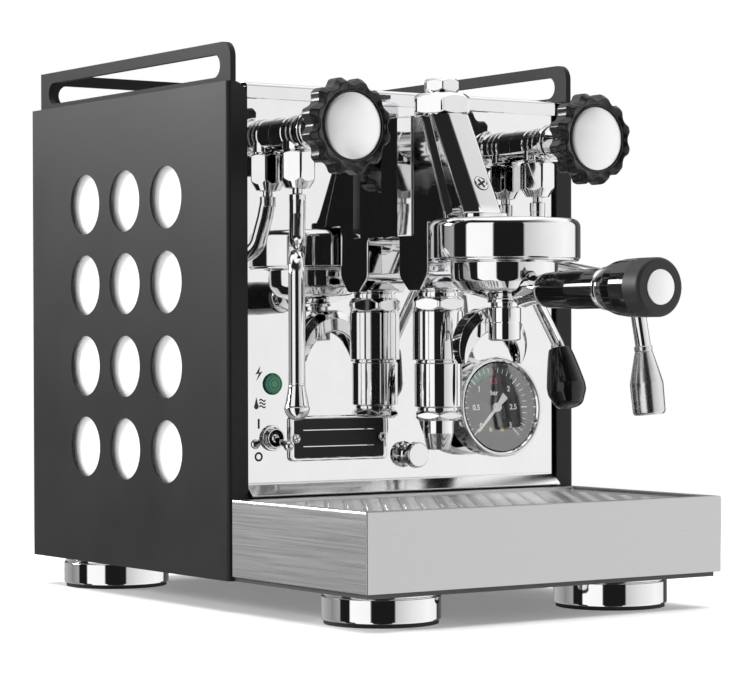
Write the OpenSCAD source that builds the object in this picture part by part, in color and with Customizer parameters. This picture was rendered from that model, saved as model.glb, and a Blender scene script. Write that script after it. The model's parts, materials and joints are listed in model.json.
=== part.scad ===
// Espresso machine with a lever brew group, steam wand and hot water wand.
// Millimetres. X runs to the right seen from the front, Y to the back, Z up.
// The origin is on the floor under the middle of the machine, handle included.

/* [Casing] */
// Width over the two side panels
body_w = 274; // [268:1:290]
// Depth of the side panels
body_d = 266; // [262:1:280]
// Height of the side panels' lower edge above the floor
side_z0 = 20; // [18:0.5:22]
// Height of the side panels' upper edge above the floor
side_z1 = 331.5; // [330:0.5:336]
// Sheet thickness of panels and trays
sheet = 1.5; // [1.2:0.1:2]
// Width of the front flange that each side panel folds in
flange_w = 14.3; // [12:0.1:15]
// Diameter of the round windows in the side panels
window_d = 40.7; // [30:0.1:44]
// Distance between window centres
window_pitch = 54.75; // [50:0.25:56]
// Height of the cup rail
rail_h = 25; // [24:0.5:30]

/* [Drip tray] */
// Depth of the drip tray in front of the casing
tray_d = 149; // [146:1:150]
// Height of the drip tray's rim above the floor
tray_top = 71; // [70:0.5:71.5]
// Length of the grate's slots
grate_slot = 13; // [8:0.5:14]

/* [Feet] */
// Radius of a foot
foot_r = 36.3; // [30:0.1:37]
// Thickness of the rubber pad under a foot
pad_h = 2.5; // [2:0.5:4]

/* [Brew group] */
// Distance of the brewing axis in front of the casing
brew_reach = 103; // [101:0.5:104]
// Radius of the bell
bell_r = 47; // [46:0.5:48]
// Width of the group's casting
group_w = 36; // [34:0.5:36]
// Width of the slanted neck
neck_w = 28.5; // [26:0.5:30]
// Distance of the exhaust chamber's axis in front of the casing
exhaust_reach = 33; // [32:0.5:34]

/* [Controls] */
// Sideways distance of each valve from the middle
valve_x = 95; // [93:0.5:96]
// Height of the valves above the floor
valve_z = 300; // [299:0.5:301]
// Outer radius of a valve knob over its lobes
knob_r = 30; // [28:0.5:31]
// Number of lobes on a valve knob
knob_lobes = 12; // [8:1:14]
// Sideways distance of the brew lever from the middle
lever_x = 53; // [52:0.5:55]
// Upward tilt of the pressure gauge
gauge_tilt = 5; // [0:1:8]

/* [Hidden] */
$fn = 64;
eps = 0.01;
front_y = -7;                        // front edge of the side panels
side_x = body_w / 2;
inner_x = side_x - sheet;            // inner face of a side panel
panel_y = 3;                         // front face of the front panel, behind front_y
panel_half = side_x - flange_w - 0.5;
panel_z0 = 72;
band_z = 321.5;                      // where the front panel meets its top band
plate_h = 2.5;                       // base plate
foot_x_front = 89;
foot_y_front = -97;
foot_x_rear = 97;
foot_y_rear = 217;
tray_half = side_x - 1;
tray_z0 = side_z0 + plate_h + 0.5;
tray_back = -1.5;
tray_front = tray_back - tray_d;
rim_w = 7;
grate_z = tray_top - 3.5;
slot_r = 7.25;                       // half height of the cup rail's slots
rail_t = 4;
group_half = group_w / 2;
group_top = 313;
bell_z0 = 218.4;
bell_z1 = 244.5;
gasket_z = 229.5;
brew_y = -brew_reach;
exhaust_y = -exhaust_reach;
lever_z = 238;
shaft_r = 6;
neck_lean = 28.4;
handle_z = 200;
wand_y = -14.4;
ball_z = 272;
ball_r = 6;
knob_y = -78.7;                      // front rim of a knob
knob_h = 15.7;
toggle_x = -103.4;
toggle_z = 108.5;
lamp_x = -102.9;
lamp_z = 142.6;
stud_x = 2.6;
stud_z = 95.5;
badge_x0 = -91;
badge_x1 = -16.5;
badge_z0 = 93.4;
badge_z1 = 122.2;
badge_t = 2.4;
gauge_x = 59.5;
gauge_y = -22;
gauge_z = 126.3;
gauge_r = 33;
dial_r = 29.2;
inlet_x = 80;
inlet_z = 52;
rear_y = 260;

// ---------- helpers ----------

// Moves a shape from the casing's own frame, with Y from the side panels' front edge
module datum() {
    translate([0, front_y, 0]) children();
}

module box(x0, x1, y0, y1, z0, z1) {
    translate([x0, y0, z0]) cube([x1 - x0, y1 - y0, z1 - z0]);
}

// Cylinder along Y from y0 to y1, y1 larger
module rod_y(r, x, z, y0, y1) {
    translate([x, y1, z]) rotate([90, 0, 0]) cylinder(r = r, h = y1 - y0);
}

module rod_x(r, y, z, x0, x1) {
    translate([x0, y, z]) rotate([0, 90, 0]) cylinder(r = r, h = x1 - x0);
}

module rod_z(r, x, y, z0, z1) {
    translate([x, y, z0]) cylinder(r = r, h = z1 - z0);
}

// Moves to point a with Z turned towards point b
module aim(a, b) {
    v = b - a;
    flat = norm([v[0], v[1]]);
    translate(a) rotate([0, atan2(flat, v[2]), atan2(v[1], v[0])]) children();
}

// Cone or cylinder from point a to point b
module rod_between(a, b, ra, rb) {
    aim(a, b) cylinder(r1 = ra, r2 = rb, h = norm(b - a));
}

// Tube of radius r along a list of points, with ball corners that stand out by knee
module bent_rod(points, r, knee = 0.04) {
    for (i = [0 : len(points) - 2]) rod_between(points[i], points[i + 1], r, r);
    for (i = [1 : len(points) - 2]) translate(points[i]) sphere(r = r + knee);
}

module hex_prism(across_flats, h) {
    cylinder(r = across_flats / 2 / cos(30), h = h, $fn = 6);
}

// Hex nut whose corners are turned off on top and below
module turned_hex(across_flats, h, top = 2, bottom = 1) {
    corner_r = across_flats / 2 / cos(30);
    intersection() {
        hex_prism(across_flats, h);
        union() {
            cylinder(r1 = corner_r - bottom, r2 = corner_r, h = bottom);
            translate([0, 0, bottom]) cylinder(r = corner_r, h = h - top - bottom);
            translate([0, 0, h - top]) cylinder(r1 = corner_r, r2 = corner_r - top, h = top);
        }
    }
}

// Rectangle with round corners, centred
module round_rect(w, h, r) {
    square([w - 2 * r, h], center = true);
    square([w, h - 2 * r], center = true);
    for (x = [-1, 1])
        for (y = [-1, 1])
            translate([x * (w / 2 - r), y * (h / 2 - r)]) circle(r = r);
}

// Slot of half width r between two points on a line along X
module slot_2d(x0, x1, r) {
    translate([x0, -r]) square([x1 - x0, 2 * r]);
    for (x = [x0, x1]) translate([x, 0]) circle(r = r);
}

// Extrudes a Y-Z outline along X, centred on X = 0
module extrude_x(w) {
    translate([-w / 2, 0, 0]) rotate([90, 0, 90]) linear_extrude(height = w) children();
}

// Turns a profile drawn as (radius, height) so that its height runs towards -Y
module turn_y(x, y, z) {
    translate([x, y, z]) rotate([90, 0, 0]) rotate_extrude() children();
}

// ---------- casing ----------

module base_frame() {
    color("dimgray") datum() difference() {
        union() {
            box(-side_x + 4, side_x - 4, tray_front + 4, -0.1, side_z0, side_z0 + plate_h);
            box(-panel_half, panel_half, -0.2, sheet + 0.2, side_z0, side_z0 + plate_h);
            box(-inner_x, inner_x, sheet + 0.1, body_d - 4, side_z0, side_z0 + plate_h);
            for (side = [-1, 1]) {
                mirror([side < 0 ? 1 : 0, 0, 0]) {
                    box(112.5, 121, 6, 16, side_z0 + plate_h - eps, 318);
                    box(112.5, 121, 246, 258, side_z0 + plate_h - eps, 318);
                    box(114, 121, 6, 258, 310, 318);
                }
            }
            box(-121, 121, 6, 14, 312, 318);
            box(-121, 121, 6, 10, 238, 246);
            box(-121, 121, 6, 8, side_z0 + plate_h - eps, 78);
            box(-121, 121, 250, 258, 310, 318);
        }
        for (x = [-60, 0, 60]) rod_z(8, x, 120, side_z0 - 1, side_z0 + plate_h + 1);
    }
}

module front_panel() {
    color("silver") datum() difference() {
        union() {
            box(-panel_half, panel_half, panel_y, panel_y + sheet, panel_z0 + 8, band_z + 1);
            extrude_x(2 * panel_half) polygon([
                [panel_y, panel_z0 + 10], [panel_y + sheet, panel_z0 + 10],
                [panel_y + sheet, panel_z0 + 8], [-3.4, panel_z0 - 0.1],
                [-4.5, panel_z0 + 0.9], [panel_y, panel_z0 + 8.5]]);
            extrude_x(2 * panel_half) difference() {
                union() {
                    translate([1, band_z]) square([12, side_z1 - band_z - 3]);
                    translate([4, band_z + 3]) square([9, side_z1 - band_z - 3]);
                    translate([4, side_z1 - 3]) circle(r = 3);
                }
                translate([2.5, band_z + sheet]) square([12, side_z1 - band_z - 2 * sheet]);
            }
        }
        for (x = [-valve_x, valve_x]) rod_y(10.4, x, valve_z, 0, 10);
        rod_y(6.2, toggle_x, toggle_z, 0, 10);
        rod_y(5.6, lamp_x, lamp_z, 0, 10);
        rod_y(3.1, stud_x, stud_z, 0, 10);
        rod_y(12.5, gauge_x, gauge_z, 0, 10);
        for (z = [258, 298]) rod_y(8.5, 0, z, 0, 10);
    }
}

module rear_panel() {
    color("silver") datum() difference() {
        union() {
            box(-131, 131, rear_y, rear_y + sheet, side_z0 + plate_h, side_z1);
            box(-127, 127, 250.5, rear_y + eps, side_z1 - sheet, side_z1);
        }
        translate([inlet_x, rear_y - 1, inlet_z])
            rotate([-90, 0, 0]) linear_extrude(height = 4) square([27.4, 20.4], center = true);
        for (row = [0 : 7])
            for (x = [-60, 60])
                translate([x, rear_y + 3, 190 + row * 14])
                    rotate([90, 0, 0]) linear_extrude(height = 5) slot_2d(-32, 32, 2.5);
    }
}

// Plan of the right side panel: a sheet with its front and back edges folded in
module side_panel_plan() {
    intersection() {
        translate([0, body_d / 2]) difference() {
            round_rect(body_w, body_d, 3);
            round_rect(body_w - 2 * sheet, body_d - 2 * sheet, sheet);
        }
        translate([side_x - flange_w, -1]) square([flange_w + 1, body_d + 2]);
    }
}

module side_panel_right_shape() {
    window_y = 132.4;
    window_z = 180.5;
    corner_r = 10;
    flange_x = side_x - flange_w;
    difference() {
        union() {
            translate([0, 0, side_z0]) linear_extrude(height = side_z1 - side_z0)
                side_panel_plan();
            box(inner_x - 8, inner_x + eps, 16, body_d - 16, side_z1 - sheet, side_z1);
        }
        for (column = [-1, 0, 1])
            for (row = [-1.5, -0.5, 0.5, 1.5])
                rod_x(window_d / 2, window_y + column * window_pitch,
                    window_z + row * window_pitch, side_x - 4, side_x + 4);
        difference() {
            box(flange_x - 1, flange_x + corner_r, -2, 3, side_z1 - corner_r, side_z1 + 1);
            rod_y(corner_r, flange_x + corner_r, side_z1 - corner_r, -3, 4);
        }
    }
}

module side_panel_right() {
    color([0.13, 0.13, 0.14]) datum() side_panel_right_shape();
}

module side_panel_left() {
    color([0.13, 0.13, 0.14]) datum() mirror([1, 0, 0]) side_panel_right_shape();
}

module side_inserts() {
    insert_t = 2;
    color("whitesmoke") datum() for (side = [0, 1]) mirror([side, 0, 0])
        translate([side_x - 4.5 - insert_t, 132.4, 180.5]) rotate([90, 0, 90])
            linear_extrude(height = insert_t) round_rect(178, 228, 6);
}

// Side of the cup rail with its long slot, drawn in Y and Z
module rail_side_outline() {
    corner_r = 10;
    slot_z = 12;
    difference() {
        union() {
            translate([0, 0]) square([254.5, rail_h - corner_r]);
            translate([corner_r, 0]) square([254.5 - corner_r, rail_h]);
            translate([corner_r, rail_h - corner_r]) circle(r = corner_r);
        }
        translate([0, slot_z - 1.5]) slot_2d(12.5 + slot_r, 243 - slot_r, slot_r);
    }
}

module cup_rail() {
    slot_z = 12;
    color([0.2, 0.2, 0.21]) datum() translate([0, 0, side_z1]) {
        for (x = [-side_x + rail_t, side_x - rail_t])
            translate([x, 0, 0]) extrude_x(rail_t) rail_side_outline();
        translate([0, 254.5, 0]) rotate([90, 0, 0]) linear_extrude(height = rail_t)
            difference() {
                translate([-side_x + 2, 0]) square([body_w - 4, rail_h]);
                translate([0, slot_z - 1.5]) slot_2d(-116, 116, slot_r);
            }
    }
}

module at_feet() {
    for (side = [-1, 1]) {
        translate([side * foot_x_front, foot_y_front, 0]) children();
        translate([side * foot_x_rear, foot_y_rear, 0]) children();
    }
}

module feet() {
    foot_h = side_z0 - pad_h;
    color("silver") datum() at_feet() translate([0, 0, pad_h])
        rotate_extrude() polygon([[0, 0], [foot_r - 1, 0], [foot_r, 1], [foot_r, foot_h - 3],
            [foot_r - 1, foot_h - 2], [foot_r - 1, foot_h], [0, foot_h]]);
}

module foot_pads() {
    color("black") datum() at_feet() cylinder(r = foot_r - 1.5, h = pad_h);
}

module cup_tray() {
    slot_half = 44;
    color("silver") datum() difference() {
        box(-126.5, 126.5, 14, 249.5, 318.4, 329.8);
        box(-125, 125, 15.5, 248, 318, 328.3);
        for (row = [0 : 13])
            for (x = [-58, 58])
                translate([x, 28 + row * 16, 327])
                    linear_extrude(height = 4) slot_2d(-slot_half, slot_half, 3);
    }
}

module case_screws() {
    plug_drop = group_top - 268;
    color("silver") datum() {
        translate([0, -37.9 - plug_drop * tan(neck_lean) - 15 / cos(neck_lean), group_top - plug_drop])
            rotate([90 - neck_lean, 0, 0]) cylinder(r = 4.7, h = 0.8);
        for (x = [badge_x0 + 4.2, badge_x1 - 4.2])
            rod_y(3, x, (badge_z0 + badge_z1) / 2, panel_y - badge_t - 1.2, panel_y - badge_t);
        for (x = [-112, 0, 112])
            for (z = [34, 306])
                rod_y(3.5, x, z, rear_y + sheet, rear_y + sheet + 2.2);
    }
}

// ---------- front fittings ----------

module badge_plate() {
    w = badge_x1 - badge_x0;
    h = badge_z1 - badge_z0;
    color("gainsboro") datum()
        translate([(badge_x0 + badge_x1) / 2, panel_y, (badge_z0 + badge_z1) / 2])
            rotate([90, 0, 0]) linear_extrude(height = badge_t) round_rect(w, h, 3);
}

module indicator_bezel() {
    color("black") datum() difference() {
        union() {
            rod_y(6.9, lamp_x, lamp_z, panel_y - 1, panel_y);
            rod_y(5.5, lamp_x, lamp_z, panel_y - eps, 26);
        }
        rod_y(5, lamp_x, lamp_z, panel_y - 2, 18);
    }
}

module indicator_lens() {
    color("seagreen") datum() {
        rod_y(6.3, lamp_x, lamp_z, panel_y - 2.4, panel_y - 1);
        rod_y(4.9, lamp_x, lamp_z, panel_y - 1 - eps, 12);
    }
}

module toggle_bushing() {
    color("silver") datum() difference() {
        union() {
            rod_y(8.2, toggle_x, toggle_z, panel_y - 2, panel_y);
            rod_y(6.1, toggle_x, toggle_z, panel_y - 5.5, 14);
            box(toggle_x - 8, toggle_x + 8, 14, 34, toggle_z - 7, toggle_z + 7);
        }
        rod_y(4.6, toggle_x, toggle_z, panel_y - 6, 7);
    }
}

module toggle_lever() {
    ball = [toggle_x, -16.5, toggle_z - 4.4];
    pivot = [toggle_x, 0, toggle_z];
    color("silver") datum() {
        rod_between(pivot, ball, 1.7, 2.4);
        translate(ball) sphere(r = 3.2);
        translate(pivot) sphere(r = 3.2);
    }
}

module panel_stud() {
    color("silver") datum() {
        rod_y(8.7, stud_x, stud_z, -7.9, -3.4);
        rod_y(6.6, stud_x, stud_z, -3.4 - eps, panel_y);
        rod_y(3, stud_x, stud_z, panel_y - eps, 11);
    }
}

// Gauge frame: X right, Y up the dial, Z out of the dial
module gauge_frame() {
    datum() translate([gauge_x, gauge_y, gauge_z]) rotate([90 - gauge_tilt, 0, 0]) children();
}

module gauge_case() {
    color("silver") gauge_frame() {
        rotate_extrude() polygon([[0, -19], [31.5, -19], [31.5, -6], [gauge_r, -5.4],
            [gauge_r, -1.5], [gauge_r - 1.5, 0], [dial_r + 0.3, 0], [dial_r, -1.2],
            [dial_r, -10.5], [0, -10.5]]);
        translate([0, 0, -42]) cylinder(r = 9, h = 24);
    }
}

module gauge_dial() {
    color([0.3, 0.3, 0.3]) gauge_frame() {
        translate([0, 0, -10.5]) cylinder(r = dial_r, h = 1.6);
        translate([0, 0, -9]) cylinder(r = 1.2, h = 3.6);
    }
}

module gauge_glass() {
    color([0.8, 0.9, 0.95, 0.4]) gauge_frame()
        translate([0, 0, -3]) cylinder(r = dial_r, h = 1.6);
}

module gauge_needle() {
    tip_angle = 225;
    color("whitesmoke") gauge_frame() rotate([0, 0, tip_angle]) difference() {
        union() {
            translate([0, 0, -7.6]) cylinder(r = 2.6, h = 2.8);
            translate([0, 0, -6.8]) linear_extrude(height = 0.8)
                polygon([[-10, -2.4], [-10, 2.4], [-3, 1], [23, 0.35], [23, -0.35], [-3, -1]]);
        }
        translate([0, 0, -8]) cylinder(r = 1.25, h = 3);
    }
}

// ---------- brew group ----------

// Plan of the block against the panel, with a low ridge down each side
module group_block_plan() {
    ridge = group_half + 3.5;
    polygon([[-group_half - 1.3, panel_y], [-ridge, -18.3], [-group_half - 0.9, -30],
        [group_half + 0.9, -30], [ridge, -18.3], [group_half + 1.3, panel_y]]);
}

// Section of the slanted neck: a flat front 16 mm wide between two broad bevels
module neck_section() {
    half = neck_w / 2;
    polygon([[-half, 9], [-half + 6, 15], [half - 6, 15], [half, 9],
        [half, -7], [8, -15], [-8, -15], [-half, -7]]);
}

module group_body() {
    shoulder_y = -39.5;
    foot_y = -66;
    color("silver") datum() difference() {
        union() {
            extrude_x(group_w) polygon([[panel_y, group_top], [shoulder_y, group_top],
                [foot_y, 250], [foot_y, bell_z1], [-47, bell_z1], [-47, 211], [-39, 201.5],
                [-24, 201.5], [-14.7, 210], [-14.7, 236], [panel_y, 236]]);
            translate([0, 0, 236]) linear_extrude(height = group_top - 236) group_block_plan();
            intersection() {
                translate([0, -37.9, group_top]) rotate([-neck_lean, 0, 0])
                    translate([0, 0, -90])
                        linear_extrude(height = 110) neck_section();
                box(-20, 20, -110, 10, bell_z1, group_top);
            }
            translate([0, -72, bell_z1])
                linear_extrude(height = 5) round_rect(33, 40, 10);
            rod_x(12, exhaust_y, lever_z, group_half - 1, group_half + 6);
            rod_z(13, 0, exhaust_y, 198, 203);
        }
        rod_x(shaft_r + 0.05, exhaust_y, lever_z, 2, group_half + 8);
    }
    color("silver") datum() difference() {
        rod_z(15, 0, -37, group_top - eps, group_top + 0.9);
        rod_z(3, 0, -37, group_top - 1, group_top + 2);
    }
}

module group_cap_nut() {
    color("silver") datum() translate([0, -37, group_top + 0.9]) rotate([0, 0, -3.5])
        turned_hex(35, 12.8, 4, 1.2);
}

module group_top_nut() {
    color("silver") datum() translate([0, -37, group_top + 13.7]) {
        cylinder(r = 8.5, h = 1.3);
        translate([0, 0, 1.3 - eps]) rotate([0, 0, -2]) turned_hex(21.4, 8.3, 1.6, 1.2);
    }
}

module group_bell() {
    lug_gap = 17;
    color("silver") datum() translate([0, brew_y, 0]) difference() {
        rotate_extrude($fn = 96) difference() {
            union() {
                translate([0, bell_z0]) square([bell_r - 5, bell_z1 - bell_z0]);
                translate([0, bell_z0 + 1]) square([bell_r, bell_z1 - bell_z0 - 6]);
                translate([bell_r - 5, bell_z1 - 5]) circle(r = 5);
                translate([0, bell_z0]) square([bell_r - 1, 2]);
            }
            translate([-1, bell_z0 - 1]) square([37, gasket_z + 8 - bell_z0 + 1]);
            translate([-1, bell_z0 + 2.5]) square([40.3, gasket_z - bell_z0 - 2.5]);
        }
        for (angle = [130, 310])
            rotate([0, 0, angle]) translate([34, -lug_gap / 2, bell_z0 - 1])
                cube([5.2, lug_gap, 5]);
    }
}

module group_gasket() {
    color("black") datum() translate([0, brew_y, gasket_z]) difference() {
        cylinder(r = 36, h = 8);
        translate([0, 0, -1]) cylinder(r = 29.5, h = 10);
    }
}

module shower_screen() {
    color("gainsboro") datum() translate([0, brew_y, gasket_z + 1.5]) {
        cylinder(r = 28.8, h = 1.5);
        cylinder(r = 10, h = 6.5);
    }
}

module exhaust_chamber() {
    color("silver") datum() translate([0, exhaust_y, 0]) {
        translate([0, 0, 188]) rotate([0, 0, -6]) turned_hex(32, 10, 1.6, 1.6);
        rod_z(16.4, 0, 0, 157, 188 + eps);
        rod_z(15.4, 0, 0, 155.6, 157 + eps);
        rod_z(15.9, 0, 0, 127, 155.6 + eps);
        rod_z(13, 0, 0, 125, 127 + eps);
        translate([0, 0, 118.5]) rotate([0, 0, -6]) turned_hex(29, 6.6, 1.3, 1.3);
        rod_z(9.8, 0, 0, 110, 118.5 + eps);
        translate([0, 0, 100]) cylinder(r1 = 7.2, r2 = 9.8, h = 10);
    }
}

// ---------- valves and wands ----------

module valve_shape(x) {
    datum() difference() {
        union() {
            rod_y(10.3, x, valve_z, -38, 26);
            rod_y(11.6, x, valve_z, -50, -38 + eps);
            rod_y(12.6, x, valve_z, -33, -29);
            rod_y(11.8, x, valve_z, panel_y + sheet, panel_y + sheet + 5);
            rod_z(9.4, x, wand_y, 288, valve_z);
            rod_z(7.9, x, wand_y, ball_z + ball_r + 0.6, 288 + eps);
        }
        rod_y(4.05, x, valve_z, -52, -12);
    }
}

module steam_valve() {
    color("silver") valve_shape(-valve_x);
}

module water_valve() {
    color("silver") valve_shape(valve_x);
}

module wand_nuts() {
    nut_h = 23;
    color("silver") datum() for (x = [-valve_x, valve_x])
        translate([x, wand_y, 288 - nut_h]) difference() {
            rotate([0, 0, 8]) turned_hex(20.6, nut_h, 1, 5);
            translate([0, 0, 3]) cylinder(r = 8, h = nut_h);
            translate([0, 0, -1]) cylinder(r = 5.6, h = 6);
        }
}

module knob_shape(x) {
    lobe_r = 4.6;
    web_r = knob_r - 3.6;
    datum() difference() {
        union() {
            translate([x, knob_y + knob_h, valve_z]) rotate([90, 0, 0]) {
                linear_extrude(height = knob_h - 3) {
                    circle(r = web_r);
                    for (i = [0 : knob_lobes - 1])
                        rotate(i * 360 / knob_lobes + 15)
                            translate([knob_r - lobe_r, 0]) circle(r = lobe_r, $fn = 32);
                }
                translate([0, 0, knob_h - 3 - eps]) cylinder(r1 = web_r, r2 = web_r - 3, h = 3);
            }
            rod_y(13, x, valve_z, knob_y + knob_h - eps, knob_y + knob_h + 8);
        }
        rod_y(21, x, valve_z, knob_y - 1, knob_y + 2.2);
        rod_y(4, x, valve_z, knob_y + 5, knob_y + knob_h + 9);
    }
}

module knob_cap_shape(x) {
    cap_r = 20.4;
    datum() turn_y(x, knob_y + 2.2, valve_z) polygon([[0, 0], [cap_r, 0], [cap_r, 0.6],
        [cap_r * 0.8, 1.9], [cap_r * 0.55, 3], [cap_r * 0.28, 3.8], [0, 4.1]]);
}

module spindle_shape(x) {
    datum() rod_y(4, x, valve_z, knob_y + 5, -20);
}

module steam_knob() {
    color([0.05, 0.05, 0.05]) knob_shape(-valve_x);
}

module water_knob() {
    color([0.05, 0.05, 0.05]) knob_shape(valve_x);
}

module steam_knob_cap() {
    color("gainsboro") knob_cap_shape(-valve_x);
}

module water_knob_cap() {
    color("gainsboro") knob_cap_shape(valve_x);
}

module steam_spindle() {
    color("silver") spindle_shape(-valve_x);
}

module water_spindle() {
    color("silver") spindle_shape(valve_x);
}

// Seat ring that turns in a wand nut and holds the wand's ball
module ball_seat_shape(x) {
    datum() translate([x, wand_y, ball_z]) difference() {
        translate([0, 0, -4]) cylinder(r = 7.92, h = 9);
        sphere(r = ball_r + 0.3);
        translate([0, 0, 3]) cylinder(r = 5.8, h = 5);
        translate([0, 0, -5]) cylinder(r = 5.6, h = 5);
    }
}

module steam_ball_seat() {
    color("ivory") ball_seat_shape(-valve_x);
}

module water_ball_seat() {
    color("ivory") ball_seat_shape(valve_x);
}

// Ball and thin neck at the top of a wand
module wand_head(x) {
    translate([x, wand_y, ball_z]) sphere(r = ball_r);
    rod_z(3.2, x, wand_y, 256, ball_z);
}

steam_end = [-126, -61.5, 144];
water_end = [119.3, -94, 166];
water_foot = [123, -96, 121.5];

module steam_wand() {
    tube_r = 5.1;
    color("silver") datum() {
        wand_head(-valve_x);
        bent_rod([[-valve_x, wand_y, 259], [-valve_x - 3, wand_y - 5, 234],
            [-valve_x - 9, wand_y - 13, 228], [-121, -54.5, 223], [-126, -61.5, 213],
            steam_end], tube_r);
    }
}

module steam_tip() {
    color("silver") datum() translate(steam_end) {
        translate([0, 0, -14]) cylinder(r1 = 7.8, r2 = 5.1, h = 14);
        translate([0, 0, -14.6]) sphere(r = 7.9);
    }
}

module water_wand() {
    tube_r = 5;
    color("silver") datum() {
        wand_head(valve_x);
        bent_rod([[valve_x, wand_y, 259], [valve_x, wand_y, 228],
            [valve_x + 2, wand_y - 8, 220.5], [111, -82, 212], [114.5, -91, 203],
            water_end], tube_r);
    }
}

module water_tip() {
    len = norm(water_foot - water_end);
    color("silver") datum() aim(water_end, water_foot) rotate_extrude() polygon([[0, 0],
        [5.9, 0], [5.9, 3.6], [8.9, 16], [10.8, 24], [11, 28], [10.4, len - 2],
        [9.6, len], [0, len]]);
}

// ---------- brew lever ----------

lever_end = [lever_x, -90.3, 166];

module lever_arm() {
    color("silver") datum() {
        rod_x(shaft_r, exhaust_y, lever_z, 3, 30);
        rod_x(10.5, exhaust_y, lever_z, group_half + 6.4, lever_x + 6);
        rod_between([lever_x, exhaust_y, lever_z], lever_end, 4, 4);
    }
}

module lever_grip() {
    low = [lever_x, -101.3, 127];
    bend_gap = 1.6;
    len = norm(low - lever_end) - bend_gap;
    color("black") datum() aim(lever_end, low) translate([0, 0, bend_gap])
        rotate_extrude() polygon([[0, 0], [7.2, 0], [8.7, 6], [10.4, 14], [11.9, 22], [12.4, 27],
            [11.6, 32], [8.8, 36.4], [4.6, len - 0.6], [0, len]]);
}

// ---------- portafilter ----------

module portafilter() {
    rim_z = 228.2;
    color("silver") datum() translate([0, brew_y, 0]) difference() {
        union() {
            rotate_extrude($fn = 96) polygon([[0, 193], [11, 193], [14, 196], [26, 199.5],
                [31.5, 203], [33.4, 208], [33.4, 217.5], [35.4, 218.4], [35.4, rim_z],
                [0, rim_z]]);
            intersection() {
                rod_z(38.8, 0, 0, bell_z0 + 3, 227.6);
                box(-40, 40, -6.5, 6.5, 200, 230);
            }
            rod_y(8.2, 0, handle_z, -43, -10);
            rod_y(10.1, 0, handle_z, -43, -40.6);
        }
        rod_z(30.6, 0, 0, 205, 230);
        rod_z(5, 0, 0, 190, 206);
    }
}

module filter_basket() {
    color("gainsboro") datum() translate([0, brew_y, 0]) difference() {
        union() {
            rod_z(34.4, 0, 0, 228.2, 229.1);
            rod_z(30.3, 0, 0, 206, 228.2 + eps);
        }
        rod_z(29.5, 0, 0, 206.8, 230);
    }
}

module spout() {
    arch_y = 16;
    arch_r = 25;
    tip_z = 158;
    color("silver") datum() translate([0, brew_y, 0]) {
        rod_z(10.2, 0, 0, 172, 193);
        rod_between([0, 0, 180], [0, arch_y, 181.5], 7, 5.5);
        translate([0, arch_y, tip_z]) rotate([90, 0, 0])
            rotate_extrude(angle = 180) translate([arch_r, 0]) circle(r = 5.2, $fn = 32);
    }
}

module handle_grip() {
    color([0.04, 0.04, 0.04]) turn_y(0, front_y - 146, handle_z) polygon([[0, 0],
        [9.9, 0], [10.8, 2], [11.8, 30], [11.8, 55.5], [0, 55.5]]);
    color([0.04, 0.04, 0.04]) turn_y(0, front_y - 205.5, handle_z) polygon([[0, 0], [12.4, 0],
        [13.8, 3], [16, 10], [16.9, 18], [17.2, 30], [17.2, 40.9], [16.4, 43.2], [14.6, 44.6],
        [13, 44.9], [0, 44.9]]);
}

module handle_trim() {
    color("gainsboro") turn_y(0, front_y - 201.5, handle_z)
        polygon([[0, 0], [12.6, 0], [13, 2], [12.6, 4], [0, 4]]);
    color("gainsboro") turn_y(0, front_y - 250.4, handle_z)
        polygon([[0, 0], [10.3, 0], [9.8, 0.7], [6, 1.3], [0, 1.6]]);
}

// ---------- drip tray ----------

module drip_tray() {
    inner_half = tray_half - sheet;
    color("lightgray") datum() difference() {
        box(-tray_half, tray_half, tray_front, tray_back, tray_z0, tray_top);
        box(-inner_half, inner_half, tray_front + sheet, tray_back - sheet,
            tray_z0 + sheet, tray_top - sheet);
        box(-tray_half + rim_w, tray_half - rim_w, tray_front + rim_w, tray_back - rim_w,
            tray_top - 5, tray_top + 1);
    }
    color("lightgray") datum() difference() {
        box(-tray_half + rim_w - sheet, tray_half - rim_w + sheet, tray_front + rim_w - sheet,
            tray_back - rim_w + sheet, grate_z - 2, tray_top - eps);
        box(-tray_half + rim_w, tray_half - rim_w, tray_front + rim_w, tray_back - rim_w,
            grate_z, tray_top + 1);
        box(-tray_half + rim_w + 4, tray_half - rim_w - 4, tray_front + rim_w + 4,
            tray_back - rim_w - 4, grate_z - 3, grate_z + 1);
    }
}

module drip_grate() {
    half = tray_half - rim_w - 0.4;
    y0 = tray_front + rim_w + 0.4;
    y1 = tray_back - rim_w - 0.4;
    columns = 12;
    rows = 9;
    step_x = (2 * half - 24) / columns;
    step_y = (y1 - y0 - 20) / rows;
    color("silver") datum() difference() {
        box(-half, half, y0, y1, grate_z + 0.1, grate_z + 0.1 + sheet);
        for (i = [0 : columns - 1])
            for (j = [0 : rows - 1])
                translate([-half + 12 + (i + 0.5) * step_x, y0 + 10 + (j + 0.5) * step_y, grate_z + 1])
                    cube([grate_slot, 5, 6], center = true);
    }
}

// ---------- inside ----------

boiler_x = 42;
boiler_z = 226;
boiler_r = 56;
boiler_y0 = 30;
boiler_y1 = 180;

module boiler() {
    color("peru") datum() union() {
        difference() {
            union() {
                rod_y(boiler_r, boiler_x, boiler_z, boiler_y0, boiler_y1);
                rod_y(boiler_r + 4, boiler_x, boiler_z, boiler_y1 - 6, boiler_y1);
                for (x = [boiler_x - 36, boiler_x + 36])
                    box(x - 4, x + 4, 90, 120, side_z0 + plate_h, boiler_z - 38);
            }
            rod_y(boiler_r - 2, boiler_x, boiler_z, boiler_y0 + 2, boiler_y1 + 1);
        }
        rod_y(15, boiler_x - 18, boiler_z + 12, boiler_y0 + 1, boiler_y1 - 30);
    }
}

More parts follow.
